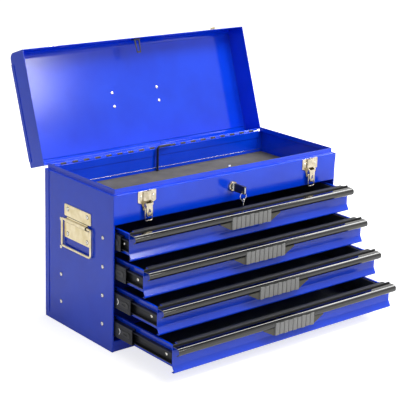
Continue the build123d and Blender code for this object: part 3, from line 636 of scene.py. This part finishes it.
def slideFittings(i):
    z = drawerLow[i] + case["slideRise"]
    end = case["front"] - middleOut[i]
    x = slide["web"]
    bright = bmesh.new()
    dark = bmesh.new()
    # bright stop of the ball retainer, a small bow that stands on the web
    at = end + slide["stopAt"]
    bow = arc(at, z, slide["stopR"], 250, 110, 12) + arc(at, z, slide["stopR"] - slide["stopW"], 118, 242, 12)
    # release lever with its slot
    y0, y1 = end + slide["leverAt"], end + slide["leverAt"] + slide["leverL"]
    h = slide["leverH"] / 2
    lever = roundedOutline([(y0, z - h * 0.5), (y0 + 5, z - h), (y1, z - h * 0.7), (y1, z + h * 0.7),
                            (y0 + 5, z + h), (y0, z + h * 0.5)], 1.2, 4)
    middle = y0 + slide["slotAt"]
    slot = [(middle + 0.45 * (a - middle), z + 0.35 * (b - z)) for a, b in lever]
    for place in (asDrawn, otherSide):
        addPlate(bright, bow, x, x + slide["stopT"], "X", place)
        addPlate(dark, lever, x, x + slide["leverT"], "X", place, slot)
        for rise in (-slide["dimpleRise"], slide["dimpleRise"]):
            addTurned(dark, slide["dimple"], (x, end + slide["dimpleAt"], z + rise), (1, 0, 0), 16, place)
    body = f"slide_middle_{i + 1}"
    finishPiece(f"retainerStops{i + 1}", bright, brightSteelAndHighlight, body, edge=0.15)
    finishPiece(f"slideLevers{i + 1}", dark, slideLeverAbs, body, edge=0.12)


for i in range(4):
    slideFittings(i)
print("Slide fittings made")


# draw latches

latch = {
    "pivotY": -111.4, "pivotZ": 257.0, "earIn": 6.6, "earT": 1.2, "earTop": 265.0, "earLow": 249.5,
    "plate": [(19.25, 279.4), (19.25, 260.0), (11.0, 256.5), (8.0, 244.5)], "plateT": 1.2,
    "channel": (8.4, 7.9), "channelOut": 3.4, "channelT": 0.9, "channelZ": (262.5, 278.6),
    "leverHalf": 6.35, "leverT": 1.1, "tip": 235.5, "shoulder": 7.0, "taper": 2.6,
    "window": (244.6, 2.7, 4.3),             # middle, half width and half height
    "springR": 0.55, "boss": [(3.1, 0.0), (3.0, 0.5), (2.2, 0.9), (1.0, 0.95), (0, 0.6)],
    "wireR": 1.1, "bailHalf": 7.6, "bailZ": 250.0, "bailLow": 227.6, "bailBend": 2.6,
}


def latchPlates():
    mesh = bmesh.new()
    front, y, z = case["front"], latch["pivotY"], latch["pivotZ"]
    face = front - latch["plateT"]
    plate = roundedOutline(mirrored(latch["plate"]), 1.4, 4)
    # raised channel between the rivets, and its two ears
    foot, crown = latch["channel"]
    out = front - latch["channelOut"]
    rib = foldedSection([(-foot, face), (-crown, out), (crown, out), (foot, face)], 1.1,
                        -latch["channelT"], 5)
    ear = roundedOutline([(front, latch["earTop"]), (y - 0.5, z + 3.4), (y - 2.9, z + 1.5),
                          (y - 2.9, z - 1.8), (y - 0.5, z - 3.4), (front, latch["earLow"])], 0.9, 4)
    for side in (-1, 1):
        place = Matrix.Translation((side * case["latchX"], 0, 0))
        addPlate(mesh, plate, face, front, "Y", place)
        addPlate(mesh, rib, *latch["channelZ"], "Z", place)
        for x0 in (latch["earIn"], -latch["earIn"] - latch["earT"]):
            addPlate(mesh, ear, x0, x0 + latch["earT"], "X", place)
    finishPiece("latchPlates", mesh, nickelPlate, "case", ("latch_bases",), edge=0.25)


def latchLever(side, sign):
    mesh = bmesh.new()
    place = Matrix.Translation((sign * case["latchX"], 0, 0))
    half, t, tip = latch["leverHalf"], latch["leverT"], latch["tip"]
    y, z = latch["pivotY"], latch["pivotZ"]
    outer = roundedOutline(mirrored([(half, z + 1.6), (half, tip + latch["shoulder"]),
                                     (half - latch["taper"], tip)]), 1.9, 5)
    middle, across, tall = latch["window"]
    turns = [math.atan2(b - middle, a) for a, b in outer]
    window = [(across * math.cos(turn), middle + tall * math.sin(turn)) for turn in turns]
    addPlate(mesh, outer, y - 2.4, y - 2.4 + t, "Y", place, window)
    # leg of the spring across the window, and the pressed boss under it
    leg = [(-2.4, y - 1.6, middle + 3.2), (1.2, y - 1.9, middle + 0.6), (-1.0, y - 1.9, middle - 1.2),
           (2.4, y - 1.6, middle - 3.4)]
    addTube(mesh, leg, 0.8, latch["springR"], 8, 4, place)
    addTurned(mesh, latch["boss"], (0, y - 2.35, tip + 3.6), (0, -1, 0), 20, place)
    cheek = roundedOutline([(y - 2.0, z + 2.2), (y + 2.2, z + 2.2), (y + 2.2, latch["bailZ"] - 2.6),
                            (y - 1.0, tip + 8), (y - 2.0, tip + 8)], 0.8, 4)
    for x0 in (-half, half - t):
        addPlate(mesh, cheek, x0, x0 + t, "X", place)
    end = latch["earIn"] + latch["earT"]
    pin = [(0, -end - 0.6), (1.7, -end - 0.55), (2.1, -end), (1.5, -end), (1.5, end), (2.1, end),
           (1.7, end + 0.55), (0, end + 0.6)]
    addTurned(mesh, pin, (0, y, z), (1, 0, 0), 18, place)
    name = f"latch_lever_{side.lower()}"
    finishPiece(f"latchLever{side}", mesh, nickelPlate, name, (name,), edge=0.2)
    mesh = bmesh.new()
    w, stub, high, low = latch["bailHalf"], half - 0.8, latch["bailZ"], latch["bailLow"]
    bend = latch["bailBend"]
    addTube(mesh, [(stub, y, high), (w, y, high), (w, y, low), (-w, y, low), (-w, y, high), (-stub, y, high)],
            [1.15, bend, bend, 1.15], latch["wireR"], 12, 7, place)
    name = f"latch_bail_{side.lower()}"
    finishPiece(f"latchLink{side}", mesh, nickelPlate, name, (name,), smooth=60.0)


latchPlates()
latchLever("Right", 1)
latchLever("Left", -1)
print("Latches made")


# side handles

handle = {
    "halfW": 40.5, "halfH": 30.5, "t": 1.5, "notchW": 9.0, "notchHalf": 6.0, "corner": 2.4,
    "x": 263.2, "pivotZ": 204.0, "barrelR": 3.7, "rollUp": 6.4,
    "seamUp": 4.6, "seamDown": 5.8, "seamW": 1.2,
    "wireR": 2.1, "half": 44.0, "drop": 50.0, "bend": 5.0,
}


def sideHandles():
    mesh = bmesh.new()
    side, x, z = case["side"], handle["x"], handle["pivotZ"]
    face = side + handle["t"]
    wide, notch = handle["halfW"], handle["notchHalf"]
    inner = wide - handle["notchW"]
    foot, head = case["handleZ"] - handle["halfH"], case["handleZ"] + handle["halfH"]
    plate = roundedOutline(mirrored([(wide, foot), (wide, z - notch), (inner, z - notch),
                                     (inner, z + notch), (wide, z + notch), (wide, head)]),
                           handle["corner"], 5)
    # rolled barrel, with the sheet running into it above and below
    up = handle["rollUp"]
    roll = arc(x, z, handle["barrelR"], -115, 115, 18)
    roll += [(face, z + up - 0.8), (side + 0.2, z + up), (side + 0.2, z - up), (face, z - up + 0.8)]
    for place in (asDrawn, otherSide):
        addPlate(mesh, plate, side, face, "X", place)
        addPlate(mesh, roll, -inner, inner, "Y", place)
    finishPiece("handlePlates", mesh, zincPlate, "case", ("side_handle_plates",), edge=0.3)
    # painted shade: black strips where the roll meets the plate, and black rings in its open ends
    mesh = bmesh.new()
    r = handle["wireR"] + 0.1
    end = [(r, 0), (handle["barrelR"] - 0.2, 0), (handle["barrelR"] - 0.3, 0.5), (r, 0.5)]
    for place in (asDrawn, otherSide):
        for low in (z + handle["seamUp"], z - handle["seamDown"]):
            seam = rectangle(face - 0.2, low, face + 0.35, low + handle["seamW"])
            addPlate(mesh, seam, -inner, inner, "Y", place)
        for sign in (-1, 1):
            addTurned(mesh, end, (x, sign * inner, z), (0, sign, 0), 20, place)
    finishPiece("handlePaintedShade", mesh, slideSteelAndShade, "case")
    y, low, stub, bend = handle["half"], z - handle["drop"], inner - 0.6, handle["bend"]
    for name, place in (("Right", asDrawn), ("Left", otherSide)):
        mesh = bmesh.new()
        addTube(mesh, [(x, stub, z), (x, y, z), (x, y, low), (x, -y, low), (x, -y, z), (x, -stub, z)],
                [2.6, bend, bend, 2.6], handle["wireR"], 14, 8, place)
        body = f"side_bail_{name.lower()}"
        finishPiece(f"sideBail{name}", mesh, zincPlate, body, (body,), smooth=60.0)


sideHandles()
print("Side handles made")


# lock, key and ring

lock = {
    "z": 255.7, "out": 5.0, "back": 7.5, "bodyR": 8.0, "flangeR": 9.8, "plugR": 6.0, "fit": 0.06,
    "nutR": 11.0, "nutFrom": 1.0, "nutTo": 4.0, "plugIn": 0.8,
    "slotHalfW": 0.95, "slotHalfH": 3.7, "circleR": 4.9,
}
plugFace = case["front"] - lock["out"] + lock["plugIn"]


def lockSet():
    front, z, out = case["front"], lock["z"], lock["out"]
    mesh = bmesh.new()
    bore, rim = lock["plugR"] + lock["fit"], lock["flangeR"]
    ring = [(bore, -lock["back"]), (lock["bodyR"], -lock["back"]), (lock["bodyR"], 0), (rim, 0),
            (rim, 2.6), (rim - 0.9, 4.4), (rim - 2.2, out), (lock["plugR"] + 0.9, out),
            (bore, out - 0.7), (bore, -lock["back"])]
    addTurned(mesh, ring, (0, front, z), (0, -1, 0), 40)
    addPlate(mesh, arc(0, z, lock["nutR"], 0, 300, 5), front + lock["nutFrom"], front + lock["nutTo"], "Y",
             asDrawn, arc(0, z, lock["bodyR"], 0, 300, 5))
    finishPiece("lockHousing", mesh, nickelPlate, "case", ("lock_housing",), edge=0.12,
                smooth=30.0)
    # painted shade: the slot, and a fine turned circle, drawn in black on the cylinder's face
    mesh = bmesh.new()
    w, h, r = lock["slotHalfW"], lock["slotHalfH"], lock["circleR"]
    addPlate(mesh, roundedOutline(mirrored([(w, z - h), (w, z + h)]), 0.5, 4), plugFace - 0.06,
             plugFace + 0.4, "Y")
    addTurned(mesh, [(r, 0.05), (r, 0.1), (r - 0.4, 0.1), (r - 0.4, 0.05)], (0, plugFace, z), (0, -1, 0), 32)
    finishPiece("keywayShade", mesh, blackAbsAndShade, "lock_plug")


key = {
    "gap": 4.0, "headL": 27.0, "headH": 14.0, "headT": 5.0, "holeY": -135.6, "holeDrop": 3.2, "holeR": 2.6,
    "frameL": 7.0, "frameOut": 0.15, "frameT": 2.2, "bladeT": 1.5,
    # blade's outline: along Y from the plug's face, and up from the lock's axis
    "blade": [(10.0, -3.0), (10.0, 1.2), (9.0, 3.3), (-5.5, 3.3), (-5.5, -3.3), (1.0, -3.3), (2.4, -2.1),
              (3.8, -3.1), (5.2, -1.8), (6.6, -2.9), (8.0, -2.0)],
    "ringTop": 251.25, "ringR": 7.0, "ringWire": 0.42, "ringSteps": 48,
    "spareUp": 0.65, "spareHole": 1.7, "spareTop": 2.2, "spareHalfW": 3.5, "spareFoot": 3.7, "spareR": 4.1,
    "spareT": 1.2, "spareBladeT": 1.1,
    # teeth of the second key, across from its middle and in height
    "spareBlade": [(-1.6, 227.6), (-0.6, 226.8), (0.9, 226.8), (1.6, 228.0), (0.9, 229.2), (1.6, 230.4),
                   (1.0, 231.4), (1.6, 232.4)],
}


def keyHead():
    # head plate drawn round its hole, ray by ray
    z, holeY, holeZ = lock["z"], key["holeY"], lock["z"] - key["holeDrop"]
    y1 = plugFace - key["gap"]
    y0 = y1 - key["headL"]
    low, high = z - key["headH"] / 2, z + key["headH"] / 2
    turns = [2 * math.pi * k / 28 for k in range(28)]
    turns += [math.atan2(b - holeZ, a - holeY) % (2 * math.pi) for a, b in rectangle(y0, low, y1, high)]
    rim, hole = [], []
    for t in sorted(turns):
        c, s = math.cos(t), math.sin(t)
        reach = min([(e - holeY) / c for e in (y0, y1) if abs(c) > 1e-6 and (e - holeY) / c > 0]
                    + [(e - holeZ) / s for e in (low, high) if abs(s) > 1e-6 and (e - holeZ) / s > 0])
        rim.append((holeY + reach * c, holeZ + reach * s))
        hole.append((holeY + key["holeR"] * c, holeZ + key["holeR"] * s))
    mesh = bmesh.new()
    addPlate(mesh, rim, -key["headT"] / 2, key["headT"] / 2, "X", asDrawn, hole)
    finishPiece("keyHead", mesh, blackAbsAndShade, "key", ("key",), edge=1.1)
    # plated frame that shows at the end of the head, and the blade
    mesh = bmesh.new()
    inside, end, up, down = y0 + key["frameL"], y0 - key["frameOut"], high + touch, low - touch
    loop = foldedSection([(inside, up), (end, up), (end, down), (inside, down)], 2.6, 0.5, 6)
    addPlate(mesh, loop, -key["frameT"] / 2, key["frameT"] / 2, "X")
    addPlate(mesh, [(plugFace + a, z + b) for a, b in key["blade"]], -key["bladeT"] / 2, key["bladeT"] / 2,
             "X")
    finishPiece("keyBlade", mesh, brightSteelAndHighlight, "key", edge=0.12)


def splitRing():
    # two turns of wire side by side, with a short step between them
    mesh = bmesh.new()
    steps, r, wire = key["ringSteps"], key["ringR"], key["ringWire"]
    points = []
    for k in range(2 * steps + 1):
        t = 2 * math.pi * k / steps
        side = wire * min(max((steps - k) / 3, -1), 1)
        points.append((r * math.sin(t), key["holeY"] + side, key["ringTop"] - r + r * math.cos(t)))
    addTube(mesh, points, 0.0, wire, 8)
    finishPiece("splitRing", mesh, brightSteelAndHighlight, "key_ring", ("key_ring",), smooth=60.0)


def secondKey():
    # hangs edge on from the ring's lowest point
    mesh = bmesh.new()
    y, small, foot = key["holeY"], key["spareHole"], key["spareFoot"]
    holeZ = key["ringTop"] - 2 * key["ringR"] + key["spareUp"] - 1.3
    rim, hole = [], []
    for k in range(24):
        t = 2 * math.pi * k / 24
        c, s = math.cos(t), math.sin(t)
        rise = (small + key["spareTop"]) / s if s > 1e-6 else foot / max(-s, 1e-6)
        reach = min(key["spareHalfW"] / max(abs(c), 1e-6), rise, key["spareR"])
        rim.append((y + reach * c, holeZ + reach * s))
        hole.append((y + small * c, holeZ + small * s))
    addPlate(mesh, rim, -key["spareT"] / 2, key["spareT"] / 2, "X", asDrawn, hole)
    blade = [(y - 1.6, holeZ - 3.0), *[(y + a, b) for a, b in key["spareBlade"]], (y + 1.6, holeZ - 3.0)]
    addPlate(mesh, blade, -key["spareBladeT"] / 2, key["spareBladeT"] / 2, "X")
    finishPiece("secondKey", mesh, brightSteelAndHighlight, "spare_key", ("spare_key",), edge=0.1)


lockSet()
keyHead()
splitRing()
secondKey()
print("Lock and keys made")


# carrying handle on the lid

carry = {
    "axis": 8.5, "rodR": 3.2, "drop": 34.0, "bend": 8.0, "stub": 5.0, "armIn": 8.0,
    "gripR": 7.5, "gripL": 68.0, "wave": 0.45, "waves": 4,
    "eyeR": 6.0, "eyeT": 3.0, "padL": 38.0, "padW": 16.0, "padT": 1.5, "padR": 4.0,
    "rivet": (2.8, 1.1, 0.8),
}
carryAt = Vector((0, case["carryY"], case["lidTop"] + carry["axis"]))
hangDown = openLid @ (Matrix.Translation(carryAt)
                      @ Matrix.Rotation(math.radians(case["lidOpen"] - 90), 4, "X")
                      @ Matrix.Translation(-carryAt))


def carryingHandle():
    x, y, z = case["carryX"], case["carryY"], carryAt.z
    end, arm, far = x + carry["stub"], x - carry["armIn"], y + carry["drop"]
    mesh = bmesh.new()
    rod = [(-end, y, z), (-arm, y, z), (-arm, far, z), (arm, far, z), (arm, y, z), (end, y, z)]
    addTube(mesh, rod, [3.6, carry["bend"], carry["bend"], 3.6], carry["rodR"], 16, 8, hangDown)
    finishPiece("carryRod", mesh, nickelPlate, "carry_handle", ("lid_handle_bail",),
                smooth=60.0)
    # moulded grip with shallow finger waves and rounded ends
    mesh = bmesh.new()
    half, r, wave = carry["gripL"] / 2, carry["gripR"], carry["wave"]
    bore = carry["rodR"] + 0.1
    profile = [(bore, -half), (r - 1.4, -half), (r - 0.3, -half + 0.9)]
    for k in range(33):
        s = -half + 2 + (2 * half - 4) * k / 32
        phase = 2 * math.pi * carry["waves"] * (s + half) / (2 * half)
        profile.append((r - wave + wave * math.cos(phase), s))
    profile += [(r - 0.3, half - 0.9), (r - 1.4, half), (bore, half)]
    addTurned(mesh, profile, (0, far, z), (1, 0, 0), 32, hangDown)
    finishPiece("carryGrip", mesh, blackAbsAndShade, "carry_handle", ("lid_handle_grip",), smooth=50.0)
    # bracket: a pad with rounded corners, and an eye that widens down to it
    mesh = bmesh.new()
    w, l, face = carry["padW"] / 2, carry["padL"] / 2, case["lidTop"] + carry["padT"]
    pad = roundedOutline(mirrored([(w, y - l), (w, y + l)]), carry["padR"], 6)
    eye, hole = [], []
    big, small = carry["eyeR"], carry["rodR"] + 0.08
    for k in range(32):
        t = 2 * math.pi * k / 32
        c, s = math.cos(t), math.sin(t)
        if s < 0:
            eye.append((y + math.copysign(min(abs(big * c) / max(abs(c), 0.2), big), big * c),
                        z + s * carry["axis"]))
        else:
            eye.append((y + big * c, z + big * s))
        hole.append((y + small * c, z + small * s))
    for sign in (-1, 1):
        place = openLid @ Matrix.Translation((sign * x, 0, 0))
        addPlate(mesh, pad, case["lidTop"], face, "Z", place)
        addPlate(mesh, eye, -carry["eyeT"] / 2, carry["eyeT"] / 2, "X", place, hole)
        for dy in (-case["carryRivets"], case["carryRivets"]):
            addTurned(mesh, rivetProfile(*carry["rivet"]), (0, y + dy, face), (0, 0, 1), 20, place)
    finishPiece("carryBrackets", mesh, nickelPlate, "lid", ("lid_handle_brackets",),
                edge=0.25)


carryingHandle()
print("Carrying handle made")


# hinge sleeves of painted shade, the tray's edge with a painted highlight, the lid's bend and the lock bar's
# spring

shadeSleeve = {"pitch": 25.0, "count": 20, "gap": 0.15, "r": 2.56, "round": 0.3}


def hingeShadeSleeves():
    # painted shade: dark sleeves on the knuckles of the case's leaf stand for the shade between the knuckles
    mesh = bmesh.new()
    r, step = shadeSleeve["r"], shadeSleeve["round"]
    first = -shadeSleeve["count"] * shadeSleeve["pitch"] / 2
    for k in range(shadeSleeve["count"]):
        start = first + k * shadeSleeve["pitch"] + shadeSleeve["gap"]
        end = first + (k + 0.5) * shadeSleeve["pitch"] - shadeSleeve["gap"]
        profile = [(r - step, start), (r, start + step), (r, end - step), (r - step, end)]
        addTurned(mesh, profile, (0, case["hingeY"], case["hingeZ"]), (1, 0, 0), 20)
    finishPiece("hingeShadeSleeves", mesh, edgeRubberAndShade, "case")


tray = {"half": 257.0, "edgeY": 102.6, "edgeZ": 244.0, "edgeR": 0.7}


def trayEdgeHighlight():
    # painted highlight: a bright steel bead along the top of the tray's rear flange
    mesh = bmesh.new()
    y, z = tray["edgeY"], tray["edgeZ"]
    addTube(mesh, [(-tray["half"], y, z), (tray["half"], y, z)], 0.0, tray["edgeR"], 12)
    finishPiece("trayEdgeHighlight", mesh, brightSteelAndHighlight, "case")


bend = {"r": 11.0, "half": 254.0, "clear": 0.05}


def lidBend():
    # soft bend where the lid's top meets its rear
    mesh = bmesh.new()
    r, inside = bend["r"], case["sheet"] + bend["clear"]
    y, z = case["back"] - inside - r, case["lidTop"] - inside - r
    addPlate(mesh, arc(y, z, r, 0, 90, 10) + [(y + r, z + r)], -bend["half"], bend["half"], "X", openLid)
    finishPiece("lidBend", mesh, coatedSteel, "lid", smooth=60.0)


spring = {
    "x": -12.0, "y": 97.5, "low": 1.0, "high": 36.0, "r": 3.3, "wire": 0.5, "turns": 9, "steps": 18,
    "keep": 0.825,                           # share of its height with the lid closed
}


def barSpring():
    # coil spring under the lock bar's collar
    mesh = bmesh.new()
    x, y, wire = spring["x"], spring["y"], spring["wire"]
    low, high = spring["low"] + wire, spring["high"] - wire
    count = spring["steps"] * spring["turns"]
    points = []
    for k in range(count + 1):
        t = 2 * math.pi * k / spring["steps"]
        points.append((x + spring["r"] * math.cos(t), y + spring["r"] * math.sin(t),
                       low + (high - low) * k / count))
    addTube(mesh, points, 0.0, wire, 8)
    coil = finishPiece("barSpring", mesh, springSteelAndShade, "case", ("lock_bar_spring",),
                       smooth=60.0)
    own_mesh(coil)


hingeShadeSleeves()
trayEdgeHighlight()
lidBend()
barSpring()
print("Trim made")


# studio

studio = {
    "floorSize": 60.0, "floorShade": "D2D2D2",
    "cameraLift": 0.75, "glossyLift": 0.25,      # extra glow of the floor, so that it shows white
    "worldLight": 0.38,
    "ceiling": 0.28, "wallTop": 0.3, "ceilingLow": 0.8,     # what a gloss sees: white walls, greyer above
}
# place, aim, width, depth, watts
lamps = {
    "keyLamp": ((0.45, -1.4, 2.6), (0, 0, 0.2), 1.6, 1.2, 54.0),
    "glareLamp": ((1.0, -1.9, 1.5), (-0.2, 0.1, 0.4), 0.4, 0.5, 9.0),
    "stripLamp": ((1.6, 0.5, 2.1), (1.6, 0.5, 0), 2.2, 0.45, 42.0),
    "sideLamp": ((2.35, -0.3, 2.1), (2.35, -0.3, 0), 1.0, 1.4, 24.0),
}
white = (1, 1, 1, 1)


def mirrorRays(tree, rays):
    # 1 for a ray that comes off a gloss or through glass
    both = addNode(tree, "Math", None, {0: rays.outputs["Is Glossy Ray"],
                                                  1: rays.outputs["Is Transmission Ray"]},
                   operation="MAXIMUM")
    return both


def makeFloor():
    size = studio["floorSize"] / 2
    data = bpy.data.meshes.new("studioFloor")
    corners = [(a, b, 0) for a, b in rectangle(-size, -size, size, size)]
    data.from_pydata(corners, [], [(0, 1, 2, 3)])
    floor = addObject("studioFloor", data)
    finish = bpy.data.materials.new("paleFloor")
    finish.use_nodes = True
    tree = finish.node_tree
    tree.nodes.clear()
    rays = addNode(tree, "LightPath")
    camera = addNode(tree, "Math", {1: studio["cameraLift"]},
                     {0: rays.outputs["Is Camera Ray"]}, operation="MULTIPLY")
    lift = addNode(tree, "Math", {1: studio["glossyLift"]},
                   {0: mirrorRays(tree, rays), 2: camera}, operation="MULTIPLY_ADD")
    matt = addNode(tree, "BsdfDiffuse", {"Color": hexColour(studio["floorShade"])})
    glow = addNode(tree, "Emission", {"Color": white}, {"Strength": lift})
    both = addNode(tree, "AddShader", None, {0: matt, 1: glow})
    addNode(tree, "OutputMaterial", None, {"Surface": both})
    data.materials.append(finish)


def makeWorld():
    world = bpy.data.worlds.new("studioWorld")
    bpy.context.scene.world = world
    world.use_nodes = True
    tree = world.node_tree
    tree.nodes.clear()
    rays = addNode(tree, "LightPath")
    place = addNode(tree, "TexCoord")
    split = addNode(tree, "SeparateXYZ", None, {0: place.outputs["Generated"]})
    height = addNode(tree, "MapRange",
                     {"From Min": studio["wallTop"], "From Max": studio["ceilingLow"], "To Min": 1.0,
                      "To Max": studio["ceiling"]},
                     {"Value": split.outputs["Z"]}, interpolation_type="SMOOTHSTEP")
    soft = addNode(tree, "Background", {"Color": white, "Strength": studio["worldLight"]})
    room = addNode(tree, "Background", {"Color": white}, {"Strength": height})
    plain = addNode(tree, "Background", {"Color": white, "Strength": 1.0})
    mirror = addNode(tree, "MixShader", None, {0: mirrorRays(tree, rays), 1: soft, 2: room})
    mixed = addNode(tree, "MixShader", None, {0: rays.outputs["Is Camera Ray"], 1: mirror, 2: plain})
    addNode(tree, "OutputWorld", None, {"Surface": mixed})


def makeLamps():
    for name, (at, aim, width, depth, power) in lamps.items():
        lamp = bpy.data.lights.new(name, "AREA")
        lamp.shape = "RECTANGLE"
        lamp.size = width
        lamp.size_y = depth
        lamp.energy = power
        lampObject = addObject(name, lamp)
        lampObject.location = at
        way = Vector(aim) - Vector(at)
        lampObject.rotation_euler = way.to_track_quat("-Z", "Y").to_euler()


# camera as fitted to the case's edges: turns in radians, offsets in millimetres
view = {
    "yaw": -0.6705, "pitch": 0.2856, "roll": 0.0232, "aside": 40.15, "above": -213.71, "away": 2366.53,
    "focalPx": 1244.3, "centre": (170.0, 190.0), "framePx": 400.0, "sensor": 36.0,
}


def makeCamera():
    yaw, pitch, roll = view["yaw"], view["pitch"], view["roll"]
    back = Vector((math.sin(yaw) * math.cos(pitch), -math.cos(yaw) * math.cos(pitch), math.sin(pitch)))
    level = Vector((math.cos(yaw), math.sin(yaw), 0))
    upright = level.cross(-back)
    right = level * math.cos(roll) + upright * math.sin(roll)
    up = upright * math.cos(roll) - level * math.sin(roll)
    at = -(right * view["aside"] + up * view["above"] - back * view["away"]) / 1000
    camera = bpy.data.cameras.new("photoCamera")
    camera.sensor_width = view["sensor"]
    camera.lens = view["focalPx"] / view["framePx"] * view["sensor"]
    camera.shift_x = 0.5 - view["centre"][0] / view["framePx"]
    camera.shift_y = view["centre"][1] / view["framePx"] - 0.5
    camera.clip_end = 100.0
    cameraObject = addObject("photoCamera", camera)
    turn = Matrix((right, up, back)).transposed()
    cameraObject.matrix_world = Matrix.Translation(at) @ turn.to_4x4()
    bpy.context.scene.camera = cameraObject


makeFloor()
makeWorld()
makeLamps()
makeCamera()
bpy.context.scene.view_settings.view_transform = "Standard"
print("Studio and camera ready")
